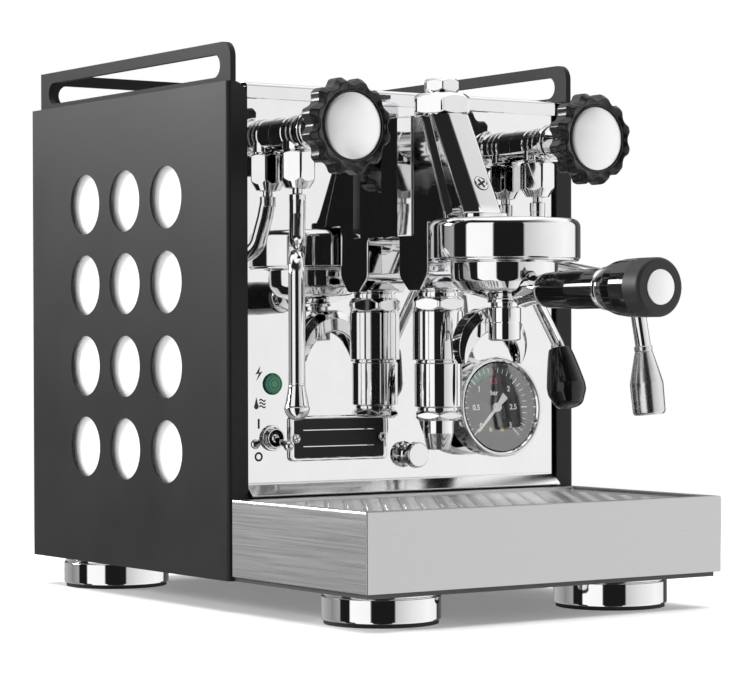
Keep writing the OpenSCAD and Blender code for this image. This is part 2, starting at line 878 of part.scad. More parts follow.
module heating_element() {
    color("goldenrod") datum() {
        rod_y(boiler_r + 4, boiler_x, boiler_z, boiler_y1, boiler_y1 + 5);
        for (x = [-9, 9]) rod_y(4, boiler_x + x, boiler_z - 32, boiler_y0 + 24, boiler_y1 + 14);
        translate([boiler_x, boiler_y0 + 24, boiler_z - 32]) rotate([0, 0, 180])
            rotate_extrude(angle = 180) translate([9, 0]) circle(r = 4, $fn = 32);
        for (i = [0 : 5])
            translate([boiler_x, boiler_y1 + 5, boiler_z]) rotate([0, i * 60, 0])
                translate([50, 0, 0]) rotate([-90, 0, 0]) hex_prism(10, 6);
    }
}

module boiler_pipes() {
    color("sandybrown") datum() {
        rod_y(5, 0, 298, panel_y, 46);
        translate([0, 46, 298]) sphere(r = 6);
        rod_between([0, 46, 298], [9, 47, 268], 5, 5);
        bent_rod([[0, panel_y, 258], [2, 18, 257], [22, 20, 238], [23, 29.9, 238.5]], 5, 1);
        bent_rod([[-valve_x, 26, valve_z], [-valve_x, 40, valve_z], [30, 70, 297],
            [31, 71, 280]], 3, 1);
        bent_rod([[valve_x, 26, valve_z], [valve_x, 60, valve_z], [84, 70, 262]], 3, 1);
    }
}

module boiler_fittings() {
    color("goldenrod") datum() for (y = [100, 140]) {
        rod_z(7, boiler_x, y, boiler_z + boiler_r - 1, boiler_z + boiler_r + 10);
        translate([boiler_x, y, boiler_z + boiler_r + 8]) hex_prism(y == 100 ? 18 : 26, 12);
    }
}

module pump() {
    color("dimgray") datum() {
        box(10, 58, 196, 236, 36, 78);
        box(24, 44, 202, 230, side_z0 + plate_h, 36 + eps);
        rod_x(9, 216, 57, -4, 10 + eps);
        rod_x(8, 216, 57, 58 - eps, 80);
    }
}

module water_tank() {
    x0 = -110;
    x1 = -24;
    y0 = 96;
    y1 = 244;
    wall = 2.5;
    color([0.85, 0.9, 0.95, 0.5]) datum() difference() {
        box(x0, x1, y0, y1, side_z0 + plate_h, 300);
        box(x0 + wall, x1 - wall, y0 + wall, y1 - wall, side_z0 + plate_h + wall, 301);
    }
}

module control_box() {
    color([0.15, 0.15, 0.16]) datum() {
        box(-100, -30, 40, 80, side_z0 + plate_h, 110);
        for (z = [50, 70, 90]) box(-88, -42, 36, 40 + eps, z, z + 8);
    }
}

module power_inlet() {
    flange_y = rear_y + sheet;
    color([0.08, 0.08, 0.08]) datum() {
        difference() {
            union() {
                box(inlet_x - 25, inlet_x + 25, flange_y, flange_y + 3, inlet_z - 11.5, inlet_z + 11.5);
                box(inlet_x - 13.5, inlet_x + 13.5, 238, flange_y + eps, inlet_z - 10, inlet_z + 10);
            }
            box(inlet_x - 12, inlet_x + 12, 246, flange_y + 4, inlet_z - 8, inlet_z + 8);
            for (x = [-20, 20]) rod_y(1.9, inlet_x + x, inlet_z, flange_y - 1, flange_y + 4);
        }
        for (pin = [[-7, -2], [7, -2], [0, 2.5]])
            box(inlet_x + pin[0] - 1, inlet_x + pin[0] + 1, 245.9, 257,
                inlet_z + pin[1] - 2, inlet_z + pin[1] + 2);
    }
}

base_frame();
front_panel();
rear_panel();
side_panel_left();
side_panel_right();
side_inserts();
cup_rail();
feet();
foot_pads();
badge_plate();
indicator_bezel();
indicator_lens();
toggle_bushing();
panel_stud();
gauge_case();
gauge_dial();
gauge_glass();
group_body();
group_cap_nut();
group_top_nut();
group_bell();
group_gasket();
shower_screen();
exhaust_chamber();
steam_valve();
water_valve();
wand_nuts();
boiler();
heating_element();
boiler_pipes();
boiler_fittings();
pump();
water_tank();
control_box();
power_inlet();
case_screws();
steam_knob();
steam_knob_cap();
steam_spindle();
water_knob();
water_knob_cap();
water_spindle();
steam_ball_seat();
steam_wand();
steam_tip();
water_ball_seat();
water_wand();
water_tip();
lever_arm();
lever_grip();
portafilter();
filter_basket();
spout();
handle_grip();
handle_trim();
drip_tray();
drip_grate();
toggle_lever();
gauge_needle();
cup_tray();
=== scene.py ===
"""Espresso machine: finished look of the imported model, on a pale floor in a plain studio."""

import json
import math

import bmesh
import bpy
from mathutils import Matrix, Vector

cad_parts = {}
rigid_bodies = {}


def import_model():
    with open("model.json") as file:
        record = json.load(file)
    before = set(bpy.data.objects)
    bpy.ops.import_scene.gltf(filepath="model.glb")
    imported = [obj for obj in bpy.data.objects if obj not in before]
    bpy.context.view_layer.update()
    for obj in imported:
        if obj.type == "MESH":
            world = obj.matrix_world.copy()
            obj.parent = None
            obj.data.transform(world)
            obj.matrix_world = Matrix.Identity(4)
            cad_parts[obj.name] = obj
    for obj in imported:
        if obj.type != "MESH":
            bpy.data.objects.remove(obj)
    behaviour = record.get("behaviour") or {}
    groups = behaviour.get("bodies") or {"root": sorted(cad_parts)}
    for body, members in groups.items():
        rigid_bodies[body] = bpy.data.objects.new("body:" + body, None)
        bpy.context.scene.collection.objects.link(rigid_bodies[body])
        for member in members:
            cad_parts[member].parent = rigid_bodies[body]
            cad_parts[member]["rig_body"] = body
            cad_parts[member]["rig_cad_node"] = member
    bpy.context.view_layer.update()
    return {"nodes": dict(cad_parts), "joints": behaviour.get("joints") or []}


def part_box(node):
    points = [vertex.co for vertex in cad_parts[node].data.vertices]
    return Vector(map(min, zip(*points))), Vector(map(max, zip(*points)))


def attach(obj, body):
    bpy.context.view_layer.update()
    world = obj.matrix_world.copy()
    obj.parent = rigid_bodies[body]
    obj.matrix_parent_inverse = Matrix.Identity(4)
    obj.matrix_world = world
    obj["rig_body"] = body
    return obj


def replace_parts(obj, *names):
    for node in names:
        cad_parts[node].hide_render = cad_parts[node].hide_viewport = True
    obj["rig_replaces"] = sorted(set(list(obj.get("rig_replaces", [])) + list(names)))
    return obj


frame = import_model()

MM = 0.001                      # the machine is in millimetres, and the studio round it in metres
UP = Vector((0, 0, 1))
FRONT = Vector((0, -1, 0))
BACK = -FRONT
RIGHT = Vector((1, 0, 0))
materials = {}


# ---------- places taken from the frame ----------

def low(node):
    """Lowest corner of a CAD node, in millimetres."""
    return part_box(node)[0] / MM


def high(node):
    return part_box(node)[1] / MM


def mid(node):
    return (low(node) + high(node)) / 2


def size(node):
    return high(node) - low(node)


# ---------- outlines ----------

def rounded(points, closed=True, steps=6):
    """A 2-D or 3-D line with an arc at each point that has a radius as its last value."""
    out = []
    count = len(points)
    for i, (here, radius) in enumerate(points):
        here = Vector(here)
        if radius <= 0 or (not closed and i in (0, count - 1)):
            out.append(here)
            continue
        back = Vector(points[i - 1][0]) - here
        ahead = Vector(points[(i + 1) % count][0]) - here
        half = back.angle(ahead) / 2
        if half > math.radians(89.5):
            out.append(here)
            continue
        reach = min(radius / math.tan(half), back.length * 0.499, ahead.length * 0.499)
        radius = reach * math.tan(half)
        centre = here + (back.normalized() + ahead.normalized()).normalized() * (radius / math.sin(half))
        start = here + back.normalized() * reach - centre
        end = here + ahead.normalized() * reach - centre
        sweep = start.angle(end)
        for k in range(steps + 1):
            t = k / steps
            mix = start * math.sin((1 - t) * sweep) + end * math.sin(t * sweep)
            out.append(centre + mix / math.sin(sweep))
    return out


def bent_line(*points, closed=False, steps=6):
    """A 2-D line through (x, y) points, with an arc where a point has a radius as its third value."""
    return rounded([(p[:2], p[2] if len(p) == 3 else 0) for p in points], closed, steps)


def corners(radius, *points):
    """Points that all get the same corner radius."""
    return [(p, radius) for p in points]


def circle(x, y, radius, steps=48):
    return [Vector((x + radius * math.cos(a), y + radius * math.sin(a)))
            for a in (2 * math.pi * k / steps for k in range(steps))]


def rounded_rect(x0, x1, y0, y1, radius, steps=6):
    return rounded(corners(radius, (x0, y0), (x1, y0), (x1, y1), (x0, y1)), steps=steps)


def slot_outline(x0, x1, y, radius):
    return rounded_rect(x0, x1, y - radius, y + radius, radius * 0.999)


# ---------- meshes ----------

def stand(name, data):
    """A new object in the scene."""
    thing = bpy.data.objects.new(name, data)
    bpy.context.scene.collection.objects.link(thing)
    return thing


def weld(mesh, distance):
    """Merges points that coincide and turns all faces outward."""
    bm = bmesh.new()
    bm.from_mesh(mesh)
    bmesh.ops.remove_doubles(bm, verts=bm.verts, dist=distance)
    bmesh.ops.recalc_face_normals(bm, faces=bm.faces)
    bm.to_mesh(mesh)
    bm.free()


def from_curve(curve):
    """Mesh of a curve, which is deleted."""
    temporary = stand(curve.name, curve)
    depsgraph = bpy.context.evaluated_depsgraph_get()
    mesh = bpy.data.meshes.new_from_object(temporary.evaluated_get(depsgraph))
    bpy.data.objects.remove(temporary)
    bpy.data.curves.remove(curve)
    return mesh


def make(name, verts, faces, body, material, node=None, sharp=32, record_slot=None):
    """A piece from points in millimetres. Edges sharper than the angle stay crisp."""
    mesh = bpy.data.meshes.new(name)
    mesh.from_pydata([Vector(v) * MM for v in verts], [], faces)
    weld(mesh, 1e-6)
    return place(name, mesh, body, material, node, sharp)


def place(name, mesh, body, material, node=None, sharp=32):
    piece = stand(name, mesh)
    mesh.materials.clear()
    mesh.materials.append(materials[material])
    smooth(piece, sharp)
    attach(piece, body)
    if node:
        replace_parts(piece, *([node] if isinstance(node, str) else node))
    return piece


def smooth(piece, sharp):
    mesh = piece.data
    mesh.polygons.foreach_set("use_smooth", [True] * len(mesh.polygons))
    bm = bmesh.new()
    bm.from_mesh(mesh)
    limit = math.radians(sharp)
    for edge in bm.edges:
        edge.smooth = edge.is_manifold and edge.calc_face_angle(0) < limit
    bm.to_mesh(mesh)
    bm.free()


def soften(piece, width, angle=32, segments=3):
    """Rounds the crisp edges, and keeps flat faces flat in reflections."""
    bevel = piece.modifiers.new("edges", "BEVEL")
    bevel.width = width * MM
    bevel.segments = segments
    bevel.limit_method = "ANGLE"
    bevel.angle_limit = math.radians(angle)
    bevel.harden_normals = True
    bevel.miter_outer = "MITER_ARC"
    return piece


def turned_to(direction):
    """Shortest rotation that takes +Z to a direction."""
    return UP.rotation_difference(Vector(direction).normalized()).to_matrix()


def lathe(name, profile, origin, direction, body="machine", material="chrome", node=None, segments=96,
          record_slot=None):
    """Turned piece. The profile runs from the axis to the axis as (radius, height)."""
    turn = turned_to(direction)
    origin = Vector(origin)
    verts, faces, rings = [], [], []
    for radius, height in profile:
        if radius < 1e-6:
            rings.append([len(verts)])
            verts.append(origin + turn @ Vector((0, 0, height)))
            continue
        ring = []
        for k in range(segments):
            a = 2 * math.pi * k / segments
            ring.append(len(verts))
            verts.append(origin + turn @ Vector((radius * math.cos(a), radius * math.sin(a), height)))
        rings.append(ring)
    for a, b in zip(rings, rings[1:]):
        if len(a) == 1 and len(b) == 1:
            continue
        for k in range(segments):
            n = (k + 1) % segments
            if len(a) == 1:
                faces.append((a[0], b[k], b[n]))
            elif len(b) == 1:
                faces.append((a[k], a[n], b[0]))
            else:
                faces.append((a[k], a[n], b[n], b[k]))
    return make(name, verts, faces, body, material, node, 32, record_slot)


def ring_profile(points):
    """Closes a profile on itself, for a turned ring with a hole."""
    return points + [points[0]]


def skin(rings, capped=True):
    """Points and faces of a wall through rings with equal numbers of points."""
    count = len(rings[0])
    verts = [p for ring in rings for p in ring]
    faces = []
    for i in range(len(rings) - 1):
        for k in range(count):
            n = (k + 1) % count
            faces.append((i * count + k, i * count + n, (i + 1) * count + n, (i + 1) * count + k))
    if capped:
        last = (len(rings) - 1) * count
        faces += [tuple(range(count))[::-1], tuple(range(last, last + count))]
    return verts, faces


def sweep(name, path, radii, body, material, segments=32):
    """Round bar or tube along a smooth path."""
    path = [Vector(p) for p in path]
    if not isinstance(radii, list):
        radii = [radii] * len(path)
    side = (path[1] - path[0]).orthogonal()
    rings = []
    for i, point in enumerate(path):
        tangent = (path[min(i + 1, len(path) - 1)] - path[max(i - 1, 0)]).normalized()
        side = (side - tangent * side.dot(tangent)).normalized()
        other = tangent.cross(side)
        angles = (2 * math.pi * k / segments for k in range(segments))
        rings.append([point + (side * math.cos(a) + other * math.sin(a)) * radii[i] for a in angles])
    return make(name, *skin(rings), body, material, sharp=40)


def plate_mesh(name, outlines, thickness, edge):
    """Flat plate with holes and rounded edges, in the X-Y plane, from 0 to its thickness."""
    curve = bpy.data.curves.new(name, "CURVE")
    curve.dimensions = "2D"
    curve.fill_mode = "BOTH"
    curve.extrude = (thickness / 2 - edge) * MM
    curve.bevel_depth = edge * MM
    curve.offset = -edge * MM
    curve.bevel_resolution = 1
    for outline in outlines:
        spline = curve.splines.new("POLY")
        spline.points.add(len(outline) - 1)
        for point, p in zip(spline.points, outline):
            point.co = (p[0] * MM, p[1] * MM, 0, 1)
        spline.use_cyclic_u = True
    mesh = from_curve(curve)
    weld(mesh, 2e-6)
    mesh.transform(Matrix.Translation((0, 0, thickness / 2 * MM)))
    return mesh


def axes(origin, x_axis, y_axis):
    """Matrix that puts a drawing's X and Y along two directions at a point in millimetres."""
    x_axis, y_axis = Vector(x_axis).normalized(), Vector(y_axis).normalized()
    z_axis = x_axis.cross(y_axis)
    m = Matrix((x_axis, y_axis, z_axis)).transposed().to_4x4()
    m.translation = Vector(origin) * MM
    return m


def lying(z):
    """Where a drawing lies flat at a height."""
    return axes((0, 0, z), RIGHT, BACK)


def upright(y):
    """Where a drawing stands parallel to the front panel, facing forward."""
    return axes((0, y, 0), RIGHT, UP)


def plate(name, outlines, thickness, where, body="machine", material="chrome", node=None, edge=0.3):
    mesh = plate_mesh(name, outlines, thickness, edge)
    mesh.transform(where)
    return place(name, mesh, body, material, node, 40)


def block(name, lo, hi, body, material, edge):
    """Box with rounded edges between two corners."""
    x0, y0, z0 = lo
    x1, y1, z1 = hi
    outline = rounded_rect(x0, x1, y0, y1, edge, steps=3)
    return plate(name, [outline], z1 - z0, lying(z0), body, material, edge=edge)


def join(name, pieces, node=None):
    """Makes one piece of several on the same body."""
    keep = pieces[0]
    depsgraph = bpy.context.evaluated_depsgraph_get()
    bm = bmesh.new()
    slots = []
    for piece in pieces:
        mesh = bpy.data.meshes.new_from_object(piece.evaluated_get(depsgraph))
        start = len(bm.faces)
        bm.from_mesh(mesh)
        bm.faces.ensure_lookup_table()
        material = piece.data.materials[0]
        if material not in slots:
            slots.append(material)
        for face in bm.faces[start:]:
            face.material_index = slots.index(material)
        bpy.data.meshes.remove(mesh)
    mesh = bpy.data.meshes.new(name)
    bm.to_mesh(mesh)
    bm.free()
    keep.modifiers.clear()
    keep.data = mesh
    for material in slots:
        mesh.materials.append(material)
    for piece in pieces[1:]:
        for stood in piece.get("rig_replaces", []):
            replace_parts(keep, stood)
        bpy.data.objects.remove(piece)
    keep.name = name
    if node:
        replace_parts(keep, node)
    return keep


# ---------- materials ----------

def new_material(name):
    material = bpy.data.materials.new(name)
    material.use_nodes = True
    materials[name] = material
    tree = material.node_tree
    return tree, tree.nodes["Principled BSDF"]


def feed(node, inputs):
    """Fills inputs of a node: a socket is linked, anything else is set as the value."""
    for key, value in inputs.items():
        if isinstance(value, bpy.types.NodeSocket):
            node.id_data.links.new(value, node.inputs[key])
        else:
            node.inputs[key].default_value = value


def add(tree, kind, inputs=None, output=0, **settings):
    """Adds a node and gives one of its outputs, by name or number."""
    node = tree.nodes.new(kind)
    for key, value in settings.items():
        setattr(node, key, value)
    feed(node, inputs or {})
    return node.outputs[output]


def noise(tree, scale, detail, stretch=(1, 1, 1), roughness=0.6):
    """Noise in the object's own metres, stretched along chosen directions."""
    position = add(tree, "ShaderNodeTexCoord", output="Object")
    stretched = add(tree, "ShaderNodeMapping", {"Vector": position, "Scale": stretch})
    inputs = {"Vector": stretched, "Scale": scale, "Detail": detail, "Roughness": roughness}
    return add(tree, "ShaderNodeTexNoise", inputs, "Fac")


def between(tree, value, lo, hi, start=0.3, end=0.7, interpolation="LINEAR"):
    """Maps a value that runs from start to end to a range."""
    inputs = {"Value": value, "From Min": start, "From Max": end, "To Min": lo, "To Max": hi}
    return add(tree, "ShaderNodeMapRange", inputs, "Result", interpolation_type=interpolation)


def fade(tree, value, start, end):
    return between(tree, value, 0, 1, start, end, "SMOOTHSTEP")


def mix_colors(tree, factor, a, b):
    """Mixes two colours, each given as three values or as a socket."""
    a, b = (c if isinstance(c, bpy.types.NodeSocket) else (*c, 1) for c in (a, b))
    return add(tree, "ShaderNodeMix", {0: factor, 6: a, 7: b}, 2, data_type="RGBA")


def mix_shaders(tree, factor, a, b):
    return add(tree, "ShaderNodeMixShader", {0: factor, 1: a, 2: b})


def vary(tree, shader, pattern, colors, roughness):
    """Colour and roughness that follow a pattern, each between two values."""
    feed(shader, {"Base Color": mix_colors(tree, between(tree, pattern, 0, 1), *colors),
                  "Roughness": between(tree, pattern, *roughness)})


def times(color, factor, lift=0.0):
    return [c * factor + lift for c in color]


def bump(tree, shader, height, strength, distance):
    inputs = {"Height": height, "Strength": strength, "Distance": distance}
    feed(shader, {"Normal": add(tree, "ShaderNodeBump", inputs, "Normal")})


def polished(name, color, roughness, smudge=0.03, wave=0.0):
    """Bright metal with faint wiping marks and a slight waviness."""
    tree, shader = new_material(name)
    feed(shader, {"Metallic": 1.0})
    vary(tree, shader, noise(tree, 60, 6), (color, times(color, 0.96)), (roughness, roughness + smudge))
    if wave:
        bump(tree, shader, noise(tree, 9, 1), wave, 0.002)


def brushed(name, color, roughness, along, contrast=0.12):
    """Metal with fine grinding lines along one direction."""
    tree, shader = new_material(name)
    feed(shader, {"Metallic": 1.0})
    lines = noise(tree, 1.0, 3, [1400.0 if axis != along else 12.0 for axis in "XYZ"], 0.7)
    vary(tree, shader, lines, (times(color, 1 - contrast), color), (roughness - 0.06, roughness + 0.08))
    bump(tree, shader, lines, 0.02, 0.0002)


def powder_coat(name, color, roughness=0.42, shine=0.3):
    """Satin paint with a very fine grain."""
    tree, shader = new_material(name)
    feed(shader, {"Specular IOR Level": shine})
    vary(tree, shader, noise(tree, 14, 4), (color, times(color, 1.35, 0.002)),
         (roughness - 0.03, roughness + 0.04))
    bump(tree, shader, noise(tree, 2200, 2), 0.10, 0.0001)


def plastic(name, color, roughness, grain=0.0):
    tree, shader = new_material(name)
    vary(tree, shader, noise(tree, 35, 5), (color, times(color, 1.2, 0.001)), (roughness, roughness + 0.05))
    if grain:
        bump(tree, shader, noise(tree, 1500, 2), grain, 0.0002)
    return shader


def printed_with_painted_glow(name, color, strength):
    """Print under glass, with painted light: it glows a little to make up for the shade the glass casts on
    it.
    """
    feed(plastic(name, color, 0.5), {"Emission Color": (*color, 1), "Emission Strength": strength})


def clear(name, color, roughness, ior=1.45):
    tree, shader = new_material(name)
    feed(shader, {"Transmission Weight": 1.0, "IOR": ior})
    vary(tree, shader, noise(tree, 50, 3), (color, times(color, 0.99)), (roughness, roughness + 0.02))


def glow(name, color, strength):
    """Faceted coloured lens that gives off a little light."""
    tree, shader = new_material(name)
    position = add(tree, "ShaderNodeTexCoord", output="Object")
    facets = add(tree, "ShaderNodeTexVoronoi", {"Vector": position, "Scale": 700.0}, "Distance")
    feed(shader, {"Base Color": mix_colors(tree, facets, color, times(color, 0.5)), "Roughness": 0.15,
                  "Emission Color": (*color, 1), "Emission Strength": strength, "Coat Weight": 1.0})


def make_materials():
    polished("chrome", (0.86, 0.86, 0.87), 0.025)
    polished("wand_steel", (0.80, 0.80, 0.80), 0.06)
    polished("tip_satin", (0.72, 0.72, 0.72), 0.20)
    polished("panel_mirror", (0.90, 0.90, 0.90), 0.012, 0.012, 0.02)
    polished("cap_metal", (0.93, 0.93, 0.93), 0.34, 0.04)
    polished("copper", (0.72, 0.38, 0.22), 0.32, 0.12)
    polished("brass", (0.78, 0.62, 0.30), 0.25, 0.1)
    polished("steel_mesh", (0.66, 0.66, 0.67), 0.3, 0.08)
    # The side faces' steel is a slightly lighter copy of the front's: painted light; the grain direction
    # differs for real.
    brushed("tray_front", (0.62, 0.62, 0.62), 0.30, "X", 0.06)
    brushed("tray_side", (0.66, 0.66, 0.66), 0.30, "Y", 0.06)
    brushed("badge_satin", (0.035, 0.035, 0.035), 0.35, "X", 0.25)
    polished("lip_satin", (0.97, 0.97, 0.97), 0.16, 0.03)
    powder_coat("side_paint", (0.006, 0.006, 0.0065), 0.42)
    powder_coat("rail_paint", (0.012, 0.012, 0.012), 0.42, 0.12)
    powder_coat("frame_paint", (0.06, 0.06, 0.065), 0.5)
    powder_coat("insert_white", (0.84, 0.85, 0.86), 0.55)
    plastic("gloss_black", (0.004, 0.004, 0.004), 0.05)
    plastic("knob_black", (0.005, 0.005, 0.005), 0.22, grain=0.05)
    plastic("matt_black", (0.012, 0.012, 0.012), 0.45, grain=0.25)
    plastic("rubber", (0.012, 0.012, 0.012), 0.75, grain=0.4)
    plastic("seat", (0.75, 0.73, 0.66), 0.4)
    # Black for real print and the lamp bezel, and also for thin plates that paint the shade in screw crosses,
    # the plug's cut and gap, and the tray's mitre gaps.
    plastic("black_print_and_painted_shade", (0.01, 0.01, 0.01), 0.4)
    plastic("dial_black", (0.035, 0.035, 0.036), 0.45)
    # The dial's print glows a little: painted light against the shade under the glass.
    printed_with_painted_glow("dial_white", (0.92, 0.92, 0.90), 0.45)
    printed_with_painted_glow("dial_red", (0.60, 0.03, 0.10), 0.45)
    printed_with_painted_glow("dial_green", (0.02, 0.22, 0.11), 0.25)
    polished("grate_steel", (0.90, 0.90, 0.90), 0.30, 0.05)
    plastic("pump_paint", (0.12, 0.12, 0.13), 0.5, grain=0.2)
    glow("lens_green", (0.008, 0.15, 0.075), 0.25)
    clear("clear_glass", (1, 1, 1), 0.0, 2.05)
    clear("tank_clear", (0.85, 0.9, 0.95), 0.05)


make_materials()


# ---------- casing ----------

def dress(node, material, edge=0.0):
    """A CAD node that keeps its shape and gets its finish."""
    piece = frame["nodes"][node]
    piece.data.materials.clear()
    piece.data.materials.append(materials[material])
    smooth(piece, 30)
    if edge:
        soften(piece, edge, 40, 2)
    return piece


foot_front_x = 89               # front feet from the middle of the machine


def feet():
    """Spun feet with a stepped top edge, on rubber pads."""
    lo, hi = low("feet"), high("feet")
    radius = 36.3
    height = hi.z - lo.z
    profile = bent_line((0, 0), (radius - 0.4, 0, 0.4), (radius, 1, 0.8), (radius, height - 3.4, 0.5),
                        (radius - 1.2, height - 2.6, 0.4), (radius - 1.2, height - 1.2, 0.4),
                        (radius - 0.2, height - 0.9, 0.3), (radius - 0.3, height, 0.2), (0, height),
                        steps=4)
    made = []
    front_y = lo.y + radius
    rear_y = hi.y - radius
    rear_x = hi.x - radius
    for x, y in ((-foot_front_x, front_y), (foot_front_x, front_y), (-rear_x, rear_y), (rear_x, rear_y)):
        made.append(lathe("foot", profile, (x, y, lo.z), UP))
    join("feet_spun", made, "feet")


feet()


# ---------- driving places ----------

joints = {joint["name"]: joint for joint in frame["joints"]}


def pivot(joint):
    return Vector(joints[joint]["pos_m"]) / MM


case_front = low("side_panel_left").y       # front edge of the side panels
panel_front = case_front + 3
panel_thick = 1.5
brew = Vector((pivot("filter_holder_turn").x, pivot("filter_holder_turn").y, 0))
steam_at = pivot("steam_wand_swivel")
water_at = pivot("water_wand_swivel")
valve_z = pivot("steam_valve_turn").z
gauge_at = pivot("needle_turn")
gauge_out = -Vector(joints["needle_turn"]["axis"]).normalized()
toggle_at = pivot("switch_throw")
lever_at = pivot("brew_lever_lift")
lamp_at = mid("indicator_lens")
stud_at = mid("panel_stud")
exhaust_y = mid("exhaust_chamber").y
group_top = 313.0
group_block_low = 236.0                     # underside of the group's block against the panel
neck_lean = math.radians(28.4)
neck_reach = 37.9                           # from the panels' edge to the middle of the neck's top


def along_x(outline, x0, x1, name, material, edge=0.3):
    """Piece of the machine with a Y-Z outline, from x0 to x1."""
    return plate(name, [outline], x1 - x0, axes((x0, 0, 0), BACK, UP), "machine", material, edge=edge)


def casing():
    dress("base_frame", "frame_paint", 0.3)
    dress("rear_panel", "steel_mesh", 0.2)
    dress("side_panel_left", "side_paint", 0.35)
    dress("side_panel_right", "side_paint", 0.35)
    dress("side_inserts", "insert_white")
    dress("cup_rail", "rail_paint", 0.5)
    dress("foot_pads", "rubber", 0.3)
    dress("gauge_glass", "clear_glass")
    dress("cup_tray", "tray_front", 0.3)
    for node, material in (("boiler", "copper"), ("boiler_pipes", "copper"), ("heating_element", "brass"),
                           ("boiler_fittings", "brass"), ("pump", "pump_paint"), ("water_tank", "tank_clear"),
                           ("control_box", "matt_black"), ("power_inlet", "matt_black"),
                           ("steam_ball_seat", "seat"), ("water_ball_seat", "seat"),
                           ("steam_spindle", "brass"), ("water_spindle", "brass"),
                           ("shower_screen", "steel_mesh"), ("group_gasket", "rubber"),
                           ("filter_basket", "steel_mesh")):
        dress(node, material, 0.15 if node in ("control_box", "power_inlet", "pump") else 0.0)


def front_panel():
    """Mirror-polished sheet with its holes, flared lower lip and rolled top band."""
    half = high("front_panel").x
    band_z = high("front_panel").z - 10
    lip_z = low("front_panel").z + 6.4
    back = panel_front + panel_thick
    holes = [circle(sign * steam_at.x, valve_z, 10.4) for sign in (1, -1)]
    holes += [circle(toggle_at.x, toggle_at.z, 6.2), circle(lamp_at.x, lamp_at.z, 5.6),
              circle(stud_at.x, stud_at.z, 3.1), circle(gauge_at.x, gauge_at.z, 12.5)]
    sheet = rounded_rect(-half, half, lip_z + 1.8, band_z + 1, 0.2, steps=1)
    parts = [plate("sheet", [sheet] + holes, panel_thick, upright(back), "machine",
                   "panel_mirror", edge=0.1)]
    foot_z = low("front_panel").z
    lip = bent_line((panel_front, lip_z + 2), (panel_front, lip_z + 1, 0.6),
                    (case_front - 4.5, foot_z + 1, 0.3), (case_front - 3.4, foot_z, 0.3),
                    (back, lip_z, 1), (back, lip_z + 2), closed=True, steps=8)
    parts.append(along_x(lip, -half, half, "lip", "lip_satin", edge=0.1))
    top = high("front_panel").z
    nose = case_front + 1
    band = bent_line((nose, band_z, 0.4), (nose, top, 3), (nose + 12, top), (nose + 12, top - 1.5),
                     (nose + 1.5, top - 1.5, 1.5), (nose + 1.5, band_z + 1.5, 0.3),
                     (nose + 12, band_z + 1.5), (nose + 12, band_z), closed=True, steps=8)
    parts.append(along_x(band, -half, half, "band", "chrome", edge=0.1))
    join("front_panel_polished", parts, "front_panel")


def badge():
    """Plain plate: a bright raised rim round a dark field with two bright lines."""
    lo, hi = low("badge_plate"), high("badge_plate")
    rim = 3.0
    outer = rounded_rect(lo.x, hi.x, lo.z, hi.z, 3)
    inner = rounded_rect(lo.x + rim, hi.x - rim, lo.z + 2.2, hi.z - 2.2, 1.4)
    where = upright(hi.y)
    field = rounded_rect(lo.x + rim - 0.5, hi.x - rim + 0.5, lo.z + 1.7, hi.z - 1.7, 1.4)
    line_z = mid("badge_plate").z
    parts = [plate("rim", [outer, inner], hi.y - lo.y, where, edge=0.7),
             plate("field", [field], 1.6, where, "machine", "badge_satin", edge=0.1)]
    for dz, inset in ((5.2, 10), (-5.2, 10)):
        bar = rounded_rect(lo.x + inset, hi.x - inset, line_z + dz - 0.35, line_z + dz + 0.35, 0.3)
        parts.append(plate("bar", [bar], 1.9, where, edge=0.12))
    join("badge_assembly", parts, "badge_plate")


def cross_head(at, out, turn, radius, height, slot_long, slot_wide):
    """Domed screw head with a recessed cross, turned a little round its axis; the cross is a thin dark plate
    on the head, painted shade standing in for its hollow.
    """
    over = out.cross(RIGHT).normalized()
    head = bent_line((0, 0), (radius, 0), (radius - 0.1, height * 0.6, height * 0.4),
                     (radius * 0.55, height, 2), (0, height))
    made = [lathe("head", head, at, out, segments=40)]
    for quarter in (0, math.pi / 2):
        x_axis = RIGHT * math.cos(turn + quarter) + over * math.sin(turn + quarter)
        bar = rounded_rect(-slot_long, slot_long, -slot_wide, slot_wide, slot_wide * 0.5, steps=2)
        # Painted shade: a thin dark plate on the head stands in for the hollow cross.
        made.append(plate("painted_recess_shade", [bar], 0.12, axes(at + out * (height - 0.07), x_axis, out.cross(x_axis)),
                          "machine", "black_print_and_painted_shade", edge=0.02))
    return made


def screws():
    """Badge screws, the slotted plug on the neck, and the rear panel's screws, as one set."""
    made = []
    lo, hi = low("badge_plate"), high("badge_plate")
    for x, turn in ((lo.x + 4.2, 0.4), (hi.x - 4.2, 0.9)):
        made += cross_head(Vector((x, lo.y, mid("badge_plate").z)), FRONT, turn, 3, 1.2, 1.9, 0.3)
    made += neck_plug()
    rear = high("case_screws")
    for x in (4.5 - rear.x, 0, rear.x - 4.5):
        for z in (low("case_screws").z + 3.5, rear.z - 3.5):
            made += cross_head(Vector((x, rear.y - 2.2, z)), BACK, 0.3, 3.5, 2.2, 2.1, 0.35)
    join("screw_set", made, "case_screws")


